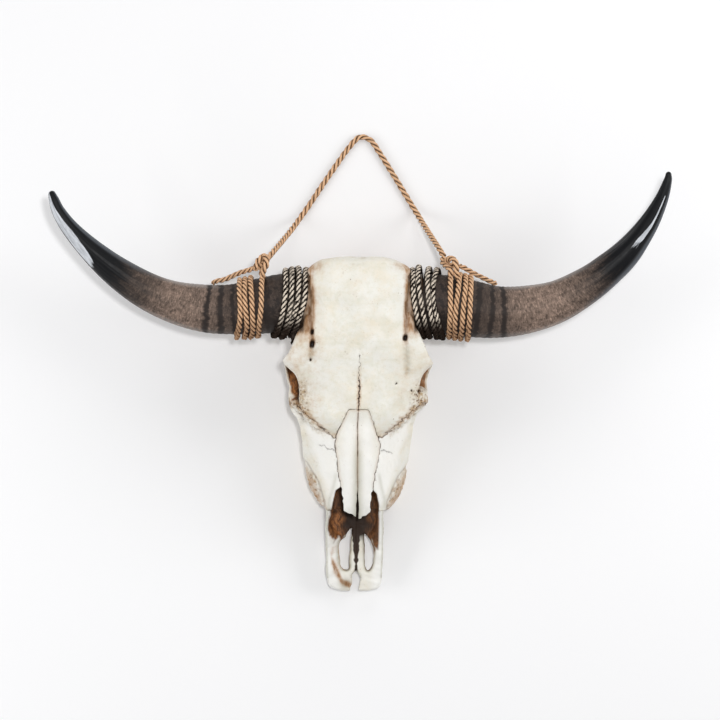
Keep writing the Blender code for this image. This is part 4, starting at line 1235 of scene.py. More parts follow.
def bone_material(name):
    """Ivory in three tints, brown where it is shut in, stained, cracked or pitted."""
    c = colours()
    m = Sheet(name, Specular_IOR_Level=0.42)
    place = m.mark("place", "Vector")
    stain, inner, rough = m.mark("stain"), m.mark("inner"), m.mark("rough")
    shut, edge, enamel = m.mark("hollow"), m.mark("edge"), m.mark("enamel")
    wide = m.noise(place, 22, 4.0, 0.6)
    middle = m.noise(place, 75, 5.0, 0.65)
    fine = m.noise(place, 420, 4.0, 0.6)
    streak = m.noise(m.stretched(place, 1.0, 0.22, 1.0), 190, 4.0, 0.6)
    warm = wide.step(0.4, 0.7) * 0.5 + middle.step(0.45, 0.62) * 0.22
    m.tint = m.mix(warm, c.bone, c.bone_warm)
    marbled = m.noise(place, 38, 8.0, 0.68, 0.8).step(0.45, 0.66)
    m.paint(marbled * 0.3 + m.noise(place, 160, 4.0, 0.7).step(0.48, 0.66) * 0.22, c.bone_shade)
    # Painted highlights: the middle of each nasal bone, the jaw's upper faces and the incisive bones
    m.paint(m.mark("pale") * (0.55 + middle * 0.5), c.bone_pale)
    m.paint(enamel, c.enamel)
    m.paint(fine.step(0.63, 0.72) * middle.step(0.42, 0.6) * 0.45, c.stain)
    dots = m.cells(m.shaken(place, 300, 0.002), 115).step(0.13, 0.07)
    m.paint(dots * m.noise(place, 47, 3.0).step(0.54, 0.66) * 0.6, c.dirt_and_shade)
    # Grey-green painted shade beside the nasal midline, along the nose's edge, in the grooves and near the incisive
    # bones' edges, and a greenish tint elsewhere
    m.paint((m.mark("green") * (0.7 + middle * 0.6)).held(), shaded(c.bone_shade, 0.66))
    # Orange-brown stain, partly painted shade, then brown where it is strongest
    stain_shade_share = (stain + (middle - 0.5) * 0.9 * stain.step(0.0, 0.3)).held()
    along = m.noise(m.stretched(place, 1.0, 0.13, 1.0), 240, 4.0, 0.65).step(0.36, 0.62)
    m.paint((stain_shade_share.step(0.05, 0.85) * (0.62 + along * 0.33)).held(), c.stain)
    m.paint((stain_shade_share.step(0.55, 1.0) * (0.15 + along.step(0.2, 0.9) * 0.45)).held(), c.dirt_and_shade)
    # Painted shade: brown where the skin is shut in, by how shut in it is
    hollow_shade = (shut * 1.5 - 0.36 + (middle - 0.5) * 0.7).step(0.0, 0.75)
    m.paint(hollow_shade * 0.75, c.dirt_and_shade)
    pits = m.cells(m.shaken(place, 260, 0.003), 210).step(0.4, 0.16)
    pitted = pits * (rough + middle.step(0.56, 0.7) * 0.25).held()
    m.paint(rough * m.noise(place, 130, 4.0, 0.7).step(0.34, 0.62) * 0.8, c.rough_bone)
    m.paint(pitted * 0.85, c.dirt_and_shade)
    flat = m.stretched(m.shaken(place, 190, 0.006), 1.0, 1.0, 0.0)
    high = m.parts(place)[2].step(0.085, 0.1)
    crack = m.line(flat, MIDLINE_CRACK)
    y = m.parts(place)[1]
    width = 0.0003 + y.step(0.335, 0.285) * 0.0006 + (middle - 0.5) * 0.0018
    crack_line = (1 - (crack / width.most(0.0002)).step(0.5, 1.5)) * high * fine.step(0.36, 0.46)
    loose = m.stretched(m.shaken(place, 105, 0.015), 1.0, 1.0, 0.0)
    squiggle = m.line(loose, SQUIGGLES[0]).least(m.line(loose, SQUIGGLES[1]))
    squiggle_line = squiggle.step(0.0013, 0.0004) * high * middle.step(0.36, 0.52)
    broken = m.noise(place, 120, 4.0, 0.7).step(0.42, 0.58)
    seam = (edge + (fine - 0.5) * 0.002).step(0.0011, 0.0001) * (broken * 0.75 + 0.12)
    halo = crack.step(0.005, 0.0006) * high * y.step(0.36, 0.29) * 0.55
    near_seam = (edge + (middle - 0.5) * 0.006).step(0.006, 0.0005) * (0.4 - m.mark("pale") * 0.32)
    m.paint(halo.most(near_seam), c.stain)
    # Painted shade along the grooves, in the crease above the cheek teeth and in the gap between the nasal bones, and
    # a dark front corner on the right incisive bone
    crease = m.mark("crease") * (0.75 + (fine - 0.5) * 1.2)
    m.paint(crease.held(), c.dirt_and_shade)
    m.paint(crack_line.most(seam * 0.9).most(squiggle_line * 0.4), c.crack)
    # Holes, and where each binding meets the bone, painted near black as shade
    m.paint(m.mark("hole"), shaded(c.crack, 0.35))
    # Inside the nose and eye sockets and under the nasal bones: dark brown painted shade, orange-brown where the walls
    # take painted light
    veins = m.noise(m.stretched(m.shaken(place, 60, 0.01), 1.0, 0.25, 1.0), 330, 4.0, 0.7)
    lit = (m.mark("lit") * (0.15 + veins.step(0.32, 0.7) * 1.2)).held()
    m.paint((inner * (1.25 + (middle - 0.5))).held(), m.mix(lit, c.nose, c.nose_lit))
    gloss = 0.46 + (middle - 0.5) * 0.35 + hollow_shade * 0.25 + inner * 0.2
    height = (
        fine * 0.1
        + middle * 0.22
        + streak * 0.12
        - pitted * 0.9
        - crack_line.most(seam * 0.5).most(squiggle_line) * 1.2
        - rough * m.noise(place, 240, 3.0) * 0.8
    )
    return m.finish(gloss.held(), height, 0.0011, 0.8)


def horn_material(side):
    """Grey-brown, specked across, with dark bands near the base, and black towards the tip."""
    c = colours()
    m = Sheet(f"horn_keratin_{SIDES[side]}", Specular_IOR_Level=0.22)
    straight, reach, upper = m.mark("straight", "Vector"), m.mark("reach"), m.mark("upper")
    place = m.place()
    wide = m.noise(place, 30, 4.0, 0.6)
    mottle = m.noise(place, 110, 5.0, 0.7)
    streak = m.noise(m.stretched(straight, 0.1, 1.0, 1.0), 330, 5.0, 0.65)
    broad = m.noise(m.stretched(straight, 0.16, 1.0, 1.0), 95, 4.0, 0.6)
    grain = m.noise(m.stretched(m.shaken(straight, 150, 0.004), 1.0, 0.32, 0.32), 480, 4.0, 0.7)
    light = (mottle * 1.6 + grain * 2.2 + streak * 0.7 + wide * 0.8 - 2.25).held()
    m.tint = m.mix(light, shaded(c.horn, 0.36), shaded(c.horn, 1.75))
    m.paint(grain.step(0.56, 0.68) * mottle.step(0.42, 0.6) * 0.7, shaded(c.horn, 2.5))
    # Painted sheen along the horn's upper edge from near the base outwards, and more faintly along its lower edge
    edge = upper.step(0.78, 1.0) * reach.step(0.175, 0.23) * 0.5
    m.paint(edge.most((0 - upper).step(0.8, 1.0) * 0.3), EDGE_SHEEN_GREY)
    patchy = 0.55 + mottle * 0.9
    dark = reach.step(0.262, 0.172) * 0.8 * patchy
    moved = reach + (broad - 0.5) * 0.016 + (mottle - 0.5) * 0.007
    rungs = m.noise(m.stretched(m.shaken(straight, 80, 0.006), 1.0, 0.14, 0.14), 150, 5.0, 0.7)
    dark = dark.most(rungs.step(0.5, 0.66) * reach.step(0.25, 0.18) * (0.35 + mottle * 0.8))
    for at, half in HORN_BANDS[side]:
        dark = dark.most(abs(moved - at).step(2.3 * half, 0.1 * half) * (0.35 + patchy * 0.75))
    patch = mottle.step(0.4, 0.6) * reach.step(0.138, 0.126) * (upper + wide).step(-0.2, 0.5) * 0.8
    dark = dark.most(reach.step(0.158, 0.138) * (0.78 + wide * 0.5 - patch))
    m.paint(dark.held(), c.horn_dark)
    start = BLACK_FROM[side]
    dusk = (reach + (broad - 0.5) * 0.05 + (mottle - 0.5) * 0.02).step(start - 0.03, start + 0.035)
    m.paint(dusk * DUSK[side], shaded(c.horn_dark, 0.8))
    black = reach + (streak - 0.5) * 0.075 + (broad - 0.5) * 0.07 - upper * 0.006
    black = black.step(start, start + 0.075)
    m.paint(black.held(), shaded(c.horn_tip, 0.55))
    # Painted sheen, blue-grey, on one flank of each black tip
    flank_sheen = (0 - upper * side).step(0.62, 0.95) * black * 0.45
    m.paint(flank_sheen * (0.6 + streak * 0.8), FLANK_SHEEN_GREY)
    # Painted highlights near the tips, from grey to near white along streaks
    pale = m.mark("pale")
    wear_and_highlight = (pale * 1.6 - 0.55 + (streak - 0.5) * 1.6 + (mottle - 0.5) * 0.8).step(0.0, 0.55)
    wear_and_highlight = wear_and_highlight * pale.step(0.05, 0.3)
    m.paint(wear_and_highlight.held(), m.mix(streak.step(0.35, 0.62), HIGHLIGHT_GREY, c.horn_worn))
    gloss = 0.6 - black * 0.16 + (mottle - 0.5) * 0.3 + (streak - 0.5) * 0.2
    return m.finish(gloss.held(), streak * 0.4 + mottle * 0.3 + grain * 0.4, 0.0006, 0.6)


def cord_material(name, crests, grooves, shares, patch, fuzz, dimming, rubbed, sides):
    """Twisted cord: pale on the crests of its plies, dark between, with fine yarn across."""
    c = colours()
    m = Sheet(name, Specular_IOR_Level=0.12)
    # Darker towards the face, where the crests lose their pale
    crest, fibre, dim_share = m.mark("crest"), m.mark("fibre"), m.mark("soil") * dimming
    place, straight = m.place(), m.mark("straight", "Vector")
    mottle = m.noise(place, 150, 4.0, 0.65)
    hair = m.noise(m.stretched(straight, 0.3, 1.0, 1.0), 1500, 3.0, 0.6)
    yarn = (fibre * 2 * math.pi * 4).sine() * 0.5 + 0.5
    lit = (crest + (mottle - 0.5) * patch + (hair - 0.5) * 0.6 + (yarn - 0.5) * 0.18).step(*shares)
    lit = lit * (1 - dim_share) * (m.mark("proud").step(*sides) * rubbed + 1 - rubbed)
    pale, deep = getattr(c, crests), getattr(c, grooves)
    # Crests pale, grooves dark: on the jute the dark grooves are painted shade between the plies
    m.tint = m.mix(lit, deep, pale)
    m.paint(hair.step(0.58, 0.72) * lit * 0.3, shaded(pale, 1.3))
    m.paint(m.noise(place, 45, 3.0).step(0.5, 0.72) * 0.3, shaded(pale, 0.6))
    m.paint(dim_share * (0.4 + mottle * 0.9), shaded(deep, 1.9))
    rough = 0.88 - lit * 0.1 + (hair - 0.5) * 0.1
    return m.finish(rough, yarn * 0.35 + hair * fuzz + crest * 0.1, 0.0007, 0.9)


# ---- pieces of bone --------------------------------------------------------------------------

# Lowest and highest corner of the grid for each bone; the small ones are made at the +X side
CRANIUM_BOX = ((-0.134, 0.222, -0.004), (0.134, 0.51, 0.196))
JAW_BOX = ((-0.106, 0.112, 0.01), (0.106, 0.3, 0.168))
TEETH_BOX = ((0.034, 0.12, -0.003), (0.074, 0.266, TOOTH_TOP_Z + 0.004))
NASAL_BOX = ((-0.004, 0.098, 0.084), (0.042, 0.28, 0.17))
INCISIVE_BOX = ((-0.002, -0.014, 0.012), (0.05, 0.1225, 0.1))
NASALS_ROOM = ((-0.04, 0.09, 0.09), (0.04, 0.275, 0.17))
NOSE_ROOM = ((-0.05, 0.05, 0.03), (0.05, 0.16, 0.2))
EDGE_MOST = 0.05  # further from a seam than this makes no difference
ROOM_SLANT = 0.0075  # a dark binding lies this far further out at the horn's lower edge
ROOM_DEPTH = 0.0128
BINDING_X = 0.0785

TRUNK_SHAPE = loft(TRUNK, TRUNK_POWER)
ROOF_ROWS = [(y, w, top, top - t / 2, top - t, 0.0, 0.0) for y, w, top, t in ROOF]
ROOF_SHAPE = loft(ROOF_ROWS, ROOF_POWER)
NOSE_ROWS = [(y, w, high, (low + high) / 2, low, 0.1, 0.1) for y, w, low, high in NOSE_HOLLOW]
ORBIT_TURN = turn_z(-ORBIT_YAW)
ORBIT_HOLLOWS = both(ellipsoid(ORBIT_HOLLOW_MIDDLE, ORBIT_HOLLOW, ORBIT_TURN @ turn_y(-ORBIT_TILT)))
# The bar outside each eye socket is thinned, so that the socket shows from above
ORBIT_SCOOPS = both(ellipsoid(*ORBIT_SCOOP, turn_z(math.radians(-14))))


def skull_mass(bone):
    """Everything of the head that is one mass before it is parted."""
    bone.join(TRUNK_SHAPE, 0.004)
    bone.join(ROOF_SHAPE, 0.008)
    bone.join(rod(SKULL_BASE), 0.012)
    bone.join(rod(NUCHAL_CREST), 0.008)
    rim_turn = ORBIT_TURN @ turn_y(math.pi / 2 - ORBIT_TILT)
    paired = [(0.006, ring(ORBIT, ORBIT_RIM_RADIUS, ORBIT_RIM_THICK, rim_turn))]
    paired += [(blend, rod(stations)) for blend, *stations in BARS.values()]
    paired += [(0.008, ellipsoid(*knob)) for knob in KNOBS]
    for blend, shape in paired:
        for one in both(shape):
            bone.join(one, blend)


def ahead(x, y, z):
    """Below zero in the room of the upper jaw, ahead of a wavy seam."""
    seam = np.interp(np.abs(x), SUTURE_X, SUTURE_Y).astype(np.float32)
    low = ease(z, SUTURE_LOW_Z + 0.006, SUTURE_LOW_Z - 0.006)
    room = 0.76 * (y - seam - (SUTURE_LOW_Y - seam) * low)
    return room + 0.0016 * ripple(x, y, z, 0.0095, 5) + 0.001 * ripple(x, y, z, 0.0045, 6)


def nasal_outline(side):
    """A nasal bone's outline, closed just past the midline."""
    outline = np.array(NASAL_OUTLINES[side])
    return np.vstack([outline, [(-0.001, outline[-1, 1]), (-0.001, outline[0, 1])]])


def nasal_room(side, trunk_skin, x, y, grow):
    """Inside a nasal bone's outline, and no deeper than the bone is thick."""
    thick = NASAL_THICK * (0.55 + 0.45 * ease(y, 0.115, 0.165))
    flat = outline_distance(side * x, y, nasal_outline(side)) - grow
    wave = 0.0006 * ripple(x, y, 0 * x, 0.007, 8)
    return smooth_max(flat + wave, -(trunk_skin + thick + grow), 0.0015)


def cut_nasals(bone):
    """Takes the two nasal bones' rooms out of a bone."""

    def rooms(x, y, z):
        skin = TRUNK_SHAPE[2](x, y, z)
        return np.minimum(*(nasal_room(side, skin, x, y, -SEAM) for side in SIDES))

    bone.cut((*NASALS_ROOM, rooms), 0.0012)


def from_hole(x, y, hole):
    """0 at a hole's middle and 1 at its squarish edge, which slants a little."""
    across = np.abs(x - hole[0] - 0.15 * (y - hole[1])) / hole[2]
    return (across**3 + (np.abs(y - hole[1]) / hole[3]) ** 3) ** (1 / 3)


def carved(x, y, z):
    """Grooves sink the skin by a bell across a bent line seen from above, holes by a disc."""
    total = 0
    for points, width, depth in GROOVES:
        total = total - depth * bell(line_distance(x + 0.0008 * np.sin(y * 700), y, points), width)
    for hole in HOLES:
        total = total - hole[-1] * ease(from_hole(x, y, hole), 1.5, 0.5)
    return (total * ease(z, 0.12, 0.13)).astype(np.float32)


def within_outline(x, y, z):
    """Below zero where the cheeks and brows are inside their outline seen from above."""
    limit = by_side(FACE_OUTLINES, x, y).astype(np.float32)
    away = ease(y, 0.185, 0.195) * ease(y, 0.402, 0.396)
    return (np.abs(x) - limit) * 0.8 - 0.05 * (1 - away) + 0 * z


def finish_bone(name, node, bone, marks_of, side=1, broader=0.0, lowest=None):
    """The bone's skin as a piece, with marks for its material.  At side -1 it is turned over to -X,
    and reaches this much further out there; nothing of it is under the lowest height."""
    places, faces, normals = bone.skin()
    straight = bone.low + bone.step * places
    # How shut in each point is, which the material darkens as painted shade
    marks = {"hollow": bone.hollowness(places, normals)}
    marks.update({mark: np.zeros(len(straight)) for mark in MARKS})
    marks["edge"] = np.full(len(straight), EDGE_MOST)
    marks.update(marks_of(*straight.T, normals))
    marks["edge"] = np.clip(marks["edge"], 0, EDGE_MOST)
    marks["place"] = straight
    share = np.clip((straight[:, 0] - BROADER_X[0]) / (BROADER_X[1] - BROADER_X[0]), 0, 1)
    points = straight.copy()
    points[:, 0] = side * (points[:, 0] + broader * share)
    points = leaned(points)
    if lowest is not None:
        points[:, 2] = np.maximum(points[:, 2], lowest)
    material = bpy.data.materials.get("weathered_bone") or bone_material("weathered_bone")
    piece = new_piece(name, node, "bone", material, points, [faces], marks)
    if side < 0:
        piece.data.flip_normals()


def at_points(distance, *place):
    """A distance worked out at single places instead of on a grid."""
    return distance(*(axis.astype(np.float32) for axis in place))


def binding_rooms(bone):
    """Room for the dark bindings, then the bony cores inside them, up to the horns."""
    for side in SIDES:
        middle, radius, _, _ = horn_line(side)
        stations = np.c_[middle, radius][:: HORN_SAMPLES // CORE_STATIONS]
        stations[:, 0] = np.abs(stations[:, 0])

        def from_core(x, y, z):
            across = np.clip(np.abs(x), 0.05, 0.14)
            at_y, at_z, thick = (np.interp(across, stations[:, 0], row) for row in stations.T[1:])
            return (np.hypot(y - at_y, z - at_z) - thick).astype(np.float32)

        def room(x, y, z):
            tilt = side * x + ROOM_SLANT * np.clip((y - 0.43) / 0.05, -1.1, 1.1)
            return np.maximum(from_core(x, y, z) - ROOM_DEPTH, BINDING_X - tilt)

        def core(x, y, z):
            ends = np.maximum(side * x - CORE_END_X, 0.05 - side * x)
            return np.maximum(from_core(x, y, z), ends)

        box = ((side * 0.1 - 0.05, 0.36, 0.06), (side * 0.1 + 0.05, 0.5, 0.2))
        bone.cut((*box, room), 0.004)
        bone.join((*box, core), 0.002)


def make_cranium():
    """The head's mass behind the seam, with its sockets, grooves and holes taken out of it and the
    horns' cores grown from it."""
    bone = Bone(*CRANIUM_BOX, sizes().cranium_cell)
    skull_mass(bone)
    bone.roughen(11, 0.0006, 0.0001)

    def dished(x, y, z):
        lumps = bell(x + 0.0415, 0.011, y - 0.2566, 0.016) + bell(x - 0.04, 0.01, y - 0.27, 0.018)
        total = 0.002 * bell(x, 0.03, y - 0.45, 0.03) - 0.0022 * bell(x, 0.045, y - 0.345, 0.05)
        return ((total + 0.0026 * lumps) * ease(z, 0.13, 0.15)).astype(np.float32)

    bone.swell(dished)
    bone.keep(within_outline, 0.0018)
    bone.swell(carved)
    for shape in ORBIT_HOLLOWS + ORBIT_SCOOPS:
        bone.cut(shape, 0.005)
    bone.join(ellipsoid(*LOWER_RIM), 0.008)
    bone.cut(ellipsoid(*FORAMEN_MAGNUM), 0.006)
    bone.cut(ellipsoid(*CHOANAE), 0.006)
    binding_rooms(bone)

    def pits(x, y, z):
        rough = bell(x + 0.083, 0.01, y - 0.278, 0.03)
        return (-0.0014 * rough * np.maximum(ripple(x, y, z, 0.0065, 21), 0)).astype(np.float32)

    bone.swell(pits)
    bone.keep(lambda x, y, z: -ahead(x, y, z) + SEAM, 0.001)
    cut_nasals(bone)
    bone.keep(lambda x, y, z: -z + 0 * x, 0.0005)

    def marks(x, y, z, normals):
        out = np.abs(x)
        high = ease(z, 0.13, 0.15)
        edge = at_points(ahead, x, y, z)
        # Orange-brown beside the bindings: stain, and painted shade beside them
        beside = ease(out, 0.062, 0.0735) * ease(y, 0.385, 0.408)
        beside = np.maximum(beside, 0.8 * ease(out, 0.07, 0.078) * ease(y, 0.37, 0.4))
        beside = beside * (1 - 0.45 * ease(y, 0.452, 0.474))
        poll = 0.42 * bell(out - 0.062, 0.018, y - 0.485, 0.012)
        # Along the two grooves: painted shade, orange-brown above the holes and greener below them
        away = np.minimum(*(line_distance(x, y, points) for points, _, _ in GROOVES[:2]))
        groove, below = bell(away, 0.005), ease(y, 0.372, 0.362)
        # Near black where each binding meets the bone: painted shade
        core = 0.8 * ease(out, 0.08, 0.0835) * ease(y, 0.384, 0.392)
        # Darker at the back below the poll and towards the floor
        back = ease(y, 0.47, 0.5) * 0.45 * ease(z, 0.165, 0.14)
        low = ease(z, 0.09, 0.04) * 0.45
        # Painted shade over the forehead's sides, stronger at -X
        side_shade = 0.26 * ease(out, 0.03, 0.072) * np.where(x < 0, 1.0, 0.72)
        side_shade = side_shade * np.where(x < 0, ease(y, 0.48, 0.44), ease(y, 0.4, 0.34))
        # Painted shade in the eye sockets
        hollows = [at_points(shape[2], x, y, z) for shape in ORBIT_HOLLOWS + ORBIT_SCOOPS]
        socket = ease(np.abs(np.min(hollows, axis=0)), 0.004, 0.001)
        socket = socket * ease(by_side(FACE_OUTLINES, x, y) - out, 0.002, 0.0048)
        socket = socket * np.where(x > 0, ease(y, 0.302, 0.308), 1)
        # Painted shadow inside the socket at -X, towards the poll and near its inner edge; the socket at +X is lit
        # evenly
        deep = 0.8 * np.maximum(ease(y, 0.318, 0.336), ease(out, 0.098, 0.09))
        rough = 1.0 * bell(x + 0.086, 0.011, y - 0.277, 0.03)
        rough += 0.8 * bell(x - 0.088, 0.01, y - 0.285, 0.024)
        rough += 0.7 * bell(x - 0.094, 0.009, y - 0.292, 0.014)
        rough += 0.7 * bell(x + 0.084, 0.006, y - 0.305, 0.01)
        # Holes painted dark: painted shade
        holes = [ease(from_hole(x, y, hole), 1.3, 0.7) for hole in HOLES]
        stain = beside + poll + groove * (0.5 - 0.4 * below) + back + low + side_shade + 0.9 * socket
        beside_seam = ease(edge, 0.009, 0.001) * ease(out, 0.048, 0.066)
        return {
            "edge": edge,
            "stain": np.clip(stain, 0, 1),
            "inner": (0.48 + 0.42 * (x < 0)) * socket,
            "lit": 1 - np.where(x < 0, deep, 0.25),
            "rough": np.clip(rough + 0.6 * beside_seam, 0, 1),
            "crease": 0.75 * bell(away, 0.0021) * ease(y, 0.366, 0.38) * high,
            "green": 0.42 * groove * below * high,
            "hole": np.maximum(np.max(holes, axis=0) * high, core),
        }

    finish_bone("cranium_bone", "cranium", bone, marks, lowest=0.0)


def make_upper_jaw():
    """The head's mass ahead of the seam, with the nose and the palate's vault taken out of it."""
    bone = Bone(*JAW_BOX, sizes().jaw_cell)
    skull_mass(bone)
    bone.roughen(31, 0.0006, 0.00018)
    bone.keep(within_outline, 0.0018)

    def beyond_crease(x, y):
        """How far outside the crease above the cheek teeth a place is."""
        return np.abs(x) - by_side(JAW_CREASES, x, y)

    def sockets(x, y, z):
        low = ease(z, 0.118, 0.104) * ease(y, 0.2, 0.18) * ease(z, 0.03, 0.04)
        beyond = beyond_crease(x, y)
        holes = np.maximum(ripple(x, y, z, 0.0085, 33), 0) ** 1.3
        depth = (0.0006 + 0.0022 * holes) * ease(beyond, 0.0, 0.004)
        return (-(depth + 0.003 * bell(beyond, 0.0022)) * low).astype(np.float32)

    bone.swell(sockets)

    def nose_opening(x, y, z):
        width = by_side(NOSE_OPENING, x, y).astype(np.float32)
        flat = smooth_max(np.abs(x) - width, y - NOSE_END_Y, 0.006)
        return np.maximum(flat, NOSE_FLOOR_Z - z)

    bone.cut((*NOSE_ROOM, nose_opening), 0.002)
    bone.cut(loft(NOSE_ROWS, TRUNK_POWER), 0.004)
    bone.join(rod(NOSE_RIDGE), 0.006)
    for shape in ORBIT_HOLLOWS:
        bone.cut(shape, 0.006)
    for shape in both(ellipsoid(*CHEEK_HOLE)):
        bone.cut(shape, 0.004)
    bone.cut(ellipsoid(*PALATE_VAULT), 0.006)
    bone.keep(lambda x, y, z: ahead(x, y, z) + SEAM, 0.001)
    bone.keep(lambda x, y, z: MUZZLE_Y - y + 0.0004 * ripple(x, y, z, 0.006, 9), 0.0012)
    cut_nasals(bone)

    def nose_room(x, y, z):
        """1 within the nose's opening and hollow, from just inside their walls."""
        width, top, _, bottom, _, _ = smooth_rows(NOSE_ROWS, y).T
        tube = (np.abs(x) / width) ** 2.5 + np.abs((2 * z - top - bottom) / (top - bottom)) ** 2.5
        tube = ease(tube, 1.35, 1.12) * ease(y, 0.232, 0.226)
        front = ease(np.abs(x) - by_side(NOSE_OPENING, x, y), 0.0014, -0.0006)
        return np.maximum(tube, front * ease(y, 0.16, 0.156) * ease(z, 0.026, 0.032))

    def marks(x, y, z, normals):
        out = np.abs(x)
        edge = -at_points(ahead, x, y, z)
        # Painted shade inside the nose
        inside = nose_room(x, y, z)
        # A grey-green line of painted shade along the edge of the nose
        strip = bell(out - level(STRIP, y), 0.003) * ease(y, 0.182, 0.17) * (1 - inside)
        low = ease(z, 0.088, 0.048) * ease(y, 0.21, 0.15)
        above = ease(z, 0.118, 0.104) * ease(z, 0.026, 0.034) * ease(y, 0.205, 0.185)
        beyond = beyond_crease(x, y)
        ragged = beyond + 0.003 * ripple(x, y, z, 0.012, 34)
        fading = 0.35 + 0.65 * ease(z + 0.012 * ripple(x, y, z, 0.02, 35), 0.055, 0.095)
        side_rough = above * ease(ragged, 0.0, 0.006) * fading
        beside_seam = ease(edge, 0.014, 0.002) * ease(out, 0.042, 0.062)
        # Painted shade under the jaw
        under = ease(z, 0.04, 0.026) * 0.5
        return {
            "edge": edge,
            "inner": inside,
            "stain": np.clip(0.45 * low + 0.5 * side_rough + under, 0, 1),
            "rough": np.maximum(0.9 * side_rough, 0.65 * beside_seam),
            # Painted light on the jaw's upper faces
            "pale": 0.95 * ease(z, 0.085, 0.105) * (1 - beside_seam),
            # Painted shade in the crease above the cheek teeth
            "crease": 0.55 * above * bell(beyond, 0.0016),
            # Painted light inside the nose, away from the midline and towards the front
            "lit": 0.45 * ease(out, 0.012, 0.034) * ease(y, 0.17, 0.14),
            "green": 0.35 * strip,
        }

    finish_bone("upper_jaw_bone", "upper_jaw", bone, marks)


def tooth(middle, first, length, width):
    """A cheek tooth: a squarish column with three ridges on its cheek side and two lobes inside,
    whose worn end has a raised rim round two crescent hollows."""

    def distance(x, y, z):
        u, v = (x - middle) / (width / 2), (y - (first + length / 2)) / (length / 2)
        cheek = 0.1 * np.cos(2 * np.pi * v) * ease(u, 0.0, 0.8)
        tongue = -0.12 * np.cos(2 * np.pi * v) * ease(u, 0.0, -0.8)
        u = u / (1 + cheek + tongue - 0.06)
        share = (np.abs(u) ** 4 + np.abs(v) ** 4) ** 0.25
        wall = (share - 1) * min(width, length) / 2
        rim = ease(share, 0.62, 0.86)
        crescent = np.abs(np.hypot(u + 0.55, (np.abs(v) - 0.5) * 1.6) - 0.62)
        wear_and_highlight = 0.002 * (1 - rim) * ease(crescent, 0.02, 0.22) + 0.0003
        return smooth_max(np.maximum(wall, z - TOOTH_TOP_Z), wear_and_highlight - z, 0.0008)

    low = (middle - width / 2, first, 0.0)
    return low, (middle + width / 2, first + length, TOOTH_TOP_Z), distance


def make_teeth(side):
    """A row of cheek teeth, joined a little where they touch."""
    bone = Bone(*TEETH_BOX, sizes().fine_cell)
    for row in TEETH:
        bone.join(tooth(*row), 0.0006)
    bone.swell(lambda x, y, z: 0.0003 * ripple(x, y, z, 0.006, 40 + side))

    def marks(x, y, z, normals):
        stain = 0.35 * ease(z, 0.012, 0.028) + 0.45 * ease(z, 0.004, 0.0015)
        return {"enamel": 0.85 * ease(z, 0.03, 0.018), "stain": stain}

    finish_bone(f"cheek_teeth_{SIDES[side]}", "upper_jaw", bone, marks, side, lowest=0.0)


def make_nasal_bone(side):
    """A shell under the trunk's skin, within the bone's outline, raised beside the midline."""
    bone = Bone(*NASAL_BOX, sizes().fine_cell)

    def shell(x, y, z):
        skin = TRUNK_SHAPE[2](x, y, z)
        relief = 0.0018 * bell(x - 0.014, 0.008) - 0.003 * bell(x, 0.0042)
        room = nasal_room(side, skin, side * x, y, 0.0)
        apart = level(NASAL_APART, y).astype(np.float32)
        body = smooth_max(skin - relief * ease(y, 0.272, 0.24), room, 0.002)
        return smooth_max(body, apart - x, 0.0014)

    bone.join((*bone.everywhere, shell), 0.001)
    bone.roughen(51 + side, 0.0004, 0.0002)

    def marks(x, y, z, normals):
        flat = at_points(lambda a, b, c: outline_distance(a, b, nasal_outline(side)), x, y, z)
        edge = np.minimum(-flat, np.maximum(x, 0) + 0.0012) + 0.0005 * (side > 0)
        edge = edge + 0.0007 * ease(y, 0.269, 0.2715) + 0.006 * ease(y, 0.165, 0.145)
        # Painted shade beside the midline, and a grey-green tint at the top and at the tip
        green = bell(x, 0.0065) * ease(y, 0.24, 0.195)
        green = green + 0.3 * ease(y, 0.245, 0.262) + 0.35 * ease(y, 0.13, 0.112)
        return {
            "edge": edge,
            # Painted shade on the faces that look down
            "inner": ease(normals[:, 2], 0.1, -0.3),
            "green": 0.62 * green,
            # Painted highlight along the middle of each bone
            "pale": 0.5 + 0.5 * bell(x - 0.015, 0.009) * ease(y, 0.262, 0.235),
            # Painted shade in the gap at the midline
            "crease": 0.75 * bell(x, 0.001) * (y < 0.268),
        }

    name = f"nasal_bone_{SIDES[side]}"
    finish_bone(name + "_shell", name, bone, marks, side)


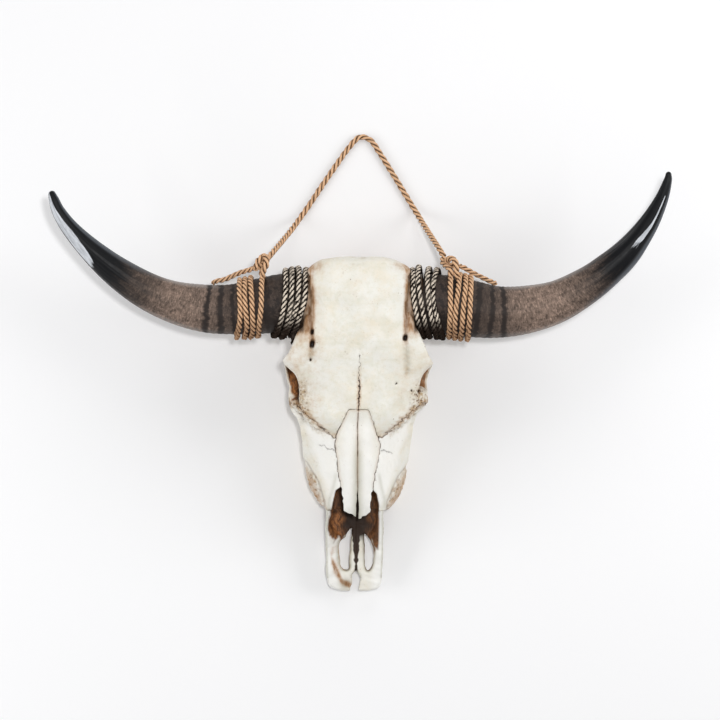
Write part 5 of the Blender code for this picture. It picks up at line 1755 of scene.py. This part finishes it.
def make_incisive_bone(side):
    """A plate within its outline and between two heights that change along y, without its slot and
    its notch, and cut down to a shelf outside a wall that slants."""
    bone = Bone(*INCISIVE_BOX, sizes().fine_cell)
    outline, slot = closed_line(INCISIVE_OUTLINE), closed_line(SLOTS[side])

    def solid(x, y, z):
        top = level(INCISIVE_TOP, y).astype(np.float32)
        foot = level(INCISIVE_BOTTOM, y).astype(np.float32)
        wall = level(INCISIVE_WALLS[side], y).astype(np.float32)
        top = top - (0.007 * bell(x, 0.003) * ease(y, 0.018, 0.026)).astype(np.float32)
        flat = outline_distance(x, y, outline)
        flat = np.where(y > 0.1, flat - 0.003 * ease(x, 0.037, 0.034), flat)
        body = smooth_max(smooth_max(flat, (z - top) * 0.92, 0.006), foot - z, 0.006)
        for hole in (slot, NOTCHES[side]):
            body = smooth_max(body, -outline_distance(x, y, hole), 0.003)
        ramp = 0.0015 + 0.0125 * ease(y, 0.1, 0.072)
        high = np.maximum(top - INCISIVE_SHELF_Z, 0.001)
        above = z - INCISIVE_SHELF_Z
        beside = ((wall - ramp - x) * high + above * ramp) / np.hypot(ramp, high)
        return smooth_max(body, np.minimum(above, beside), 0.004)

    bone.join((*bone.everywhere, solid), 0.001)
    bone.roughen(61 + side, 0.0006, 0.0003)

    def ends(x, y, z):
        """Short of the jaw but for the shelf, which reaches it, and of the midline at the notch."""
        shelf = ease(x, 0.037, 0.034) * ease(z, 0.046, 0.04)
        behind = y - MUZZLE_Y - 0.0006 - 0.0024 * shelf
        return np.maximum(behind, 0.0006 - 0.0009 * ease(y, 0.02, 0.026) - x)

    bone.keep(ends, 0.0006)

    def marks(x, y, z, normals):
        right = side < 0
        # Painted shade on walls that face the midline
        inner_side = ease(normals[:, 0], 0.2, -0.5) * ease(y, 0.0, 0.02)
        spread = 0.0016 + 0.0016 * ease(y, 0.045, 0.015)
        line = bell(line_distance(x, y, STAIN_LINE), spread) * right
        line = line * (0.3 + 0.42 * ease(y, 0.052, 0.025))
        corner = bell(x - 0.0155, 0.0085, y - 0.004, 0.0065) * right
        from_slot = outline_distance(x, y, slot)
        # Painted shade just beside the slot, and grey-green painted shade near the edges of slot and outline
        fringe = ease(from_slot, 0.0018, 0.0) * 0.3
        rim = np.minimum(from_slot, -outline_distance(x, y, outline))
        rim = ease(np.where(y > 0.012, rim, 0.01), 0.0045, 0.001)
        wall = level(INCISIVE_WALLS[side], y)
        floor = ease(x, wall + 0.0035, wall - 0.0005) * ease(z, 0.09, 0.078)
        start = level(NOSE_SHADE[side], x) + 0.003 * ripple(x, y, z, 0.012, 65)
        soft = 0.006 + 0.006 * ease(x, 0.014, 0.008)
        # Painted shade of the nose, from where it starts
        dark = ease(y, start - soft, start + soft) * floor
        # Painted light on the nose's floor away from the midline, most at a streak on the right bone
        streak = bell(x - 0.0265, 0.0065, y - 0.095, 0.018)
        lit = ease(x + 0.004 * ripple(x, y, z, 0.024, 66), 0.012, 0.026)
        wide = level(BARS_APART, y) + 0.0007 * ripple(x, y, z, 0.008, 67)
        # Painted shade in the gap between the two bars
        gap = ease(x, wide + 0.0012, wide - 0.0004) * ease(y, 0.018, 0.026)
        stain = (0.22 if right else 0.12) * inner_side + line + fringe + 0.4 * corner
        return {
            "stain": np.clip(stain, 0, 1),
            "inner": np.maximum(dark, gap * 0.9),
            "lit": (0.35 + 0.9 * streak * right) * lit,
            "crease": 0.55 * corner,
            "green": np.clip(0.08 + 0.55 * rim + 0.8 * corner, 0, 1),
            # Painted light, most on the outer part
            "pale": 0.8 * ease(x, 0.018, 0.03) + 0.3,
        }

    name = f"incisive_bone_{SIDES[side]}"
    finish_bone(name + "_plate", name, bone, marks, side, broader=BROADER * (side < 0))


# ---- horns and cords -------------------------------------------------------------------------

HORN_ROWS = 520
HORN_COLUMNS = 112
TIP_ROWS = 8
RING_PITCH = 0.0085
ROUTE_POINTS, KNOT_POINTS, TAIL_POINTS, SPUR_POINTS = 520, 110, 90, 30
KNOT_PITCH = -0.028  # plies that rise to the left have a pitch below zero


def make_horn(side):
    """Rings along the horn's line.  Each ring's radius is the table's plus growth rings that fade
    from the base outwards, lumps and flutes along it; a dome closes the tip."""
    table = np.c_[horn_line(side)]
    number = np.arange(HORN_SAMPLES)
    start = np.interp(CORE_END_X + GAP, np.abs(table[:, 0]), number)
    table = columns_at(np.linspace(start, HORN_SAMPLES - 1, HORN_ROWS), number, table)
    dome = np.linspace(0, math.pi / 2, TIP_ROWS + 1)[1:]
    end = np.repeat(table[-1:], TIP_ROWS, axis=0)
    end[:, :3] += end[:, 3:4] * np.sin(dome)[:, None] * unit(table[-1, :3] - table[-2, :3])
    end[:, 3] *= np.maximum(np.cos(dome), 0.06)
    table = np.vstack([table, end])
    middle, radius, flat, raised = table[:, :3], table[:, 3:4], table[:, 4:7], table[:, 7:]
    angle = np.linspace(0, 2 * math.pi, HORN_COLUMNS, endpoint=False)
    c, s = np.cos(angle), np.sin(angle)
    along, reach = travelled(middle)[:, None], np.abs(middle[:, :1])
    wander = 1.5 * ripple(along, 0.02 * c, 0.02 * s, 0.05, 71 + side)
    rings = ease(reach, 0.34, 0.18) * np.sin(along * 2 * np.pi / RING_PITCH + wander)
    lumps = ripple(along * 0.5, 0.04 * c, 0.04 * s, 0.045, 73 + side) * ease(radius, 0.003, 0.02)
    flutes = ripple(along * 0.06, 0.04 * c, 0.04 * s, 0.0075, 75 + side)
    relief = 0.00022 * rings + 0.0006 * lumps + 0.00016 * flutes
    size = radius + relief * ease(radius, 0.002, 0.008)
    way = c[:, None] * flat[:, None] + s[:, None] * raised[:, None]
    # Where the tips take painted highlights: a pale lower flank on the horn at -X, a streak on the horn at +X
    if side < 0:
        pale = ease(level(HIGHLIGHT_FLANK, reach) - c, 0, 0.14)
        pale = pale * ease(reach, 0.374, 0.404) * ease(c, -0.98, -0.9)
    else:
        off = np.abs(c - level(HIGHLIGHT_STREAK, reach)) / level(STREAK_HALF, reach)
        pale = ease(off, 1.3, 0.4) * ease(reach, 0.392, 0.432) * ease(reach, 0.455, 0.4515)
    marks = {"straight": (along, size * c, size * s), "reach": reach, "upper": c}
    marks["pale"] = pale * (s > -0.2)
    points, faces, marks = tube(middle[:, None] + size[..., None] * way, marks)
    if side < 0:
        faces = [face[:, ::-1] for face in faces]
    name = f"horn_{SIDES[side]}"
    new_piece(name + "_sheath", name, "horn", horn_material(side), points, faces, marks)


def cord_piece(name, node, kind, *cords):
    """These cords as one piece, with the material of their kind."""
    material, *look = CORD_LOOKS[kind]
    material = bpy.data.materials.get(material) or cord_material(material, *look)
    return new_piece(name, node, kind, material, *merged(*cords))


def make_dark_binding(side):
    """Turns of a cord of four plies; at the right a thin spur stands beside them."""
    thick, pitch = sizes().dark, sizes().dark_pitch
    line, outward = winding(side, DARK_TURNS[side], thick, 81 + side)
    cords = [twisted_cord(line, outward, thick, 4, pitch, 83 + side, 0.006)]
    if side < 0:
        spur = smooth_line(SPUR, SPUR_POINTS)
        cords.append(twisted_cord(spur, (0.0, 0.3, 1.0), 0.6 * thick, 4, pitch, 85, 0.012))
    name = f"dark_binding_{SIDES[side]}"
    cord_piece(name + "_cord", name, "dark_cord", *cords)


def make_jute_binding(side):
    """Turns of a cord of three plies."""
    thick = sizes().jute
    line, outward = winding(side, JUTE_TURNS[side], thick, 91 + side)
    cord = twisted_cord(line, outward, thick, 3, -sizes().jute_pitch, 93 + side, 0.006)
    name = f"jute_binding_{SIDES[side]}"
    cord_piece(name + "_cord", name, "jute", cord)


def make_knot(side):
    """The hanger's end and its tail drawn round each other over the turns of cord."""
    thick, up = KNOT_THICK * sizes().rope / ROPE, (0.1, 0.2, 1.0)
    cords = []
    for number, path in enumerate(KNOTS[side]):
        line, seed = smooth_line(path, KNOT_POINTS), 101 + side + 5 * number
        cords.append(twisted_cord(line, up, thick, 3, KNOT_PITCH, seed, 0.004))
    name = f"knot_{SIDES[side]}"
    cord_piece(name + "_hitch", name, "jute", *cords)


def make_tail(side):
    """The short end of rope past a knot."""
    line, thick = smooth_line(TAILS[side], TAIL_POINTS), sizes().rope * 0.9
    cord = twisted_cord(line, (0.0, 0.1, 1.0), thick, 3, KNOT_PITCH, 103 + side, 0.004)
    name = f"rope_tail_{SIDES[side]}"
    cord_piece(name + "_end", name, "jute", cord)


def make_hanging_rope():
    """The free loop between the knots, along the route of the part."""
    line = smooth_line(ROUTE, ROUTE_POINTS)
    cord = twisted_cord(line, (0.05, 0.1, 1.0), sizes().rope, 3, -sizes().rope_pitch, 107)
    piece = cord_piece("rope_loop", "hanging_rope", "jute", cord)
    path = line[::4] - ORIGIN
    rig.cord(
        piece,
        exit=path[0],
        length=round(float(travelled(line)[-1]), 3),
        diameter=ROPE,
        far_end="object",
        stiffness="limp",
        lay="hanging",
        path=path,
    )


# ---- the stage -------------------------------------------------------------------------------

FLOOR_REACH = 9.0
LAMPS = (  # name, place, width, power
    ("front", (0.26, 0.3, 4.55), 0.25, 61.0),
    ("side_left", (-2.2, -0.1, 1.4), 1.4, 17.0),
    ("side_right", (2.2, 0.3, 1.4), 1.4, 22.0),
    ("top", (0.3, 2.4, 1.7), 1.4, 12.0),
    ("glint", (-1.6, -1.2, 1.0), 0.5, 3.0),
)
LAMP_AIM = (0.0, 0.0, 0.1)
DAYLIGHT = 0.335
CAMERA_PLACE = (0.0004, 0.0361, 4.63)  # it looks straight down
CAMERA_LENS = 150


def make_stage():
    """A wide pale floor, soft light from all round, five square lamps and the camera."""
    scene = bpy.context.scene

    def placed(name, data):
        thing = bpy.data.objects.new(name, data)
        scene.collection.objects.link(thing)
        return thing

    mesh = bpy.data.meshes.new("floor")
    corners = [(FLOOR_REACH * x, FLOOR_REACH * y, 0) for x, y in ((-1, -1), (1, -1), (1, 1), (-1, 1))]
    mesh.from_pydata(corners, [], [(0, 1, 2, 3)])
    sheet = Sheet("floor", Roughness=0.8, Specular_IOR_Level=0.1, Base_Color=(*colours().floor, 1))
    mesh.materials.append(sheet.material)
    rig.stage(placed("floor", mesh))
    scene.world = bpy.data.worlds.new("soft_daylight")
    scene.world.use_nodes = True
    sky = scene.world.node_tree.nodes["Background"].inputs
    sky["Color"].default_value = (1.0, 1.0, 1.0, 1)
    sky["Strength"].default_value = DAYLIGHT
    for name, place, width, power in LAMPS:
        light = bpy.data.lights.new(name, "AREA")
        light.size, light.energy = width, power
        lamp = placed(name, light)
        lamp.location = place
        aim = Vector(np.subtract(LAMP_AIM, place))
        lamp.rotation_euler = aim.to_track_quat("-Z", "Y").to_euler()
    camera = placed("camera", bpy.data.cameras.new("camera"))
    camera.data.lens, camera.data.sensor_width = CAMERA_LENS, 36
    camera.data.clip_start, camera.data.clip_end = 0.1, 50
    camera.location = CAMERA_PLACE
    scene.camera = camera
    scene.view_settings.view_transform = "Standard"


# ---- operators, panel and run ----------------------------------------------------------------


def operator(name, label, text, maker, arguments=((),)):
    """An operator class that calls a function once with each of these arguments."""

    def execute(self, context):
        for values in arguments:
            maker(*values)
        return {"FINISHED"}

    settings = {"bl_idname": f"skull.{name}", "bl_label": label, "__doc__": text, "execute": execute}
    return type(f"SKULL_OT_{name}", (bpy.types.Operator,), settings)


EACH_SIDE = [(side,) for side in SIDES]
OPERATORS = (
    operator("stage", "Stage", "Floor, light and camera", make_stage),
    operator("hanging_rope", "Hanging rope", "The free loop of jute rope", make_hanging_rope),
    operator("cranium", "Cranium", "Braincase, forehead and orbits", make_cranium),
    operator("upper_jaw", "Upper jaw", "Maxillae and palate", make_upper_jaw),
    operator("teeth", "Cheek teeth", "Both rows of cheek teeth", make_teeth, EACH_SIDE),
    operator("nasal_bones", "Nasal bones", "Both nasal bones", make_nasal_bone, EACH_SIDE),
    operator("incisive_bones", "Incisive bones", "Both incisive bones", make_incisive_bone, EACH_SIDE),
    operator("horns", "Horns", "Both horn sheaths", make_horn, EACH_SIDE),
    operator("dark_bindings", "Dark bindings", "Dark cord at the bases", make_dark_binding, EACH_SIDE),
    operator("jute_bindings", "Jute bindings", "Jute cord further out", make_jute_binding, EACH_SIDE),
    operator("knots", "Knots", "The hanger's knots", make_knot, EACH_SIDE),
    operator("tails", "Rope tails", "The hanger's short ends", make_tail, EACH_SIDE),
)


class SKULL_PT_panel(bpy.types.Panel):
    """Lists the pieces in the order in which they are made."""

    bl_label = "Longhorn skull"
    bl_idname = "SKULL_PT_panel"
    bl_space_type = "VIEW_3D"
    bl_region_type = "UI"
    bl_category = "Skull"

    def draw(self, context):
        for made in OPERATORS:
            self.layout.operator(made.bl_idname)
        for group in (context.scene.skull_sizes, context.scene.skull_colours):
            for key in group.bl_rna.properties.keys():
                if key not in ("rna_type", "name"):
                    self.layout.prop(group, key)


CLASSES = (SkullColours, SkullSizes, *OPERATORS, SKULL_PT_panel)


def register():
    """Make the settings, operators and panel known."""
    for cls in CLASSES:
        bpy.utils.register_class(cls)
    bpy.types.Scene.skull_colours = bpy.props.PointerProperty(type=SkullColours)
    bpy.types.Scene.skull_sizes = bpy.props.PointerProperty(type=SkullSizes)


def unregister():
    """Take them out again, in the other order."""
    del bpy.types.Scene.skull_colours, bpy.types.Scene.skull_sizes
    for cls in reversed(CLASSES):
        bpy.utils.unregister_class(cls)


def main():
    """Call every operator in order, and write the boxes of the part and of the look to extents.json."""
    register()
    for made in OPERATORS:
        getattr(bpy.ops.skull, made.bl_idname.split(".")[1])()
    seen = [list(corner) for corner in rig.bounds()]
    with open("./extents.json", "w") as out:
        json.dump({"cad_box": CAD_BOX, "visual_box": seen}, out)


if __name__ == "__main__":
    main()
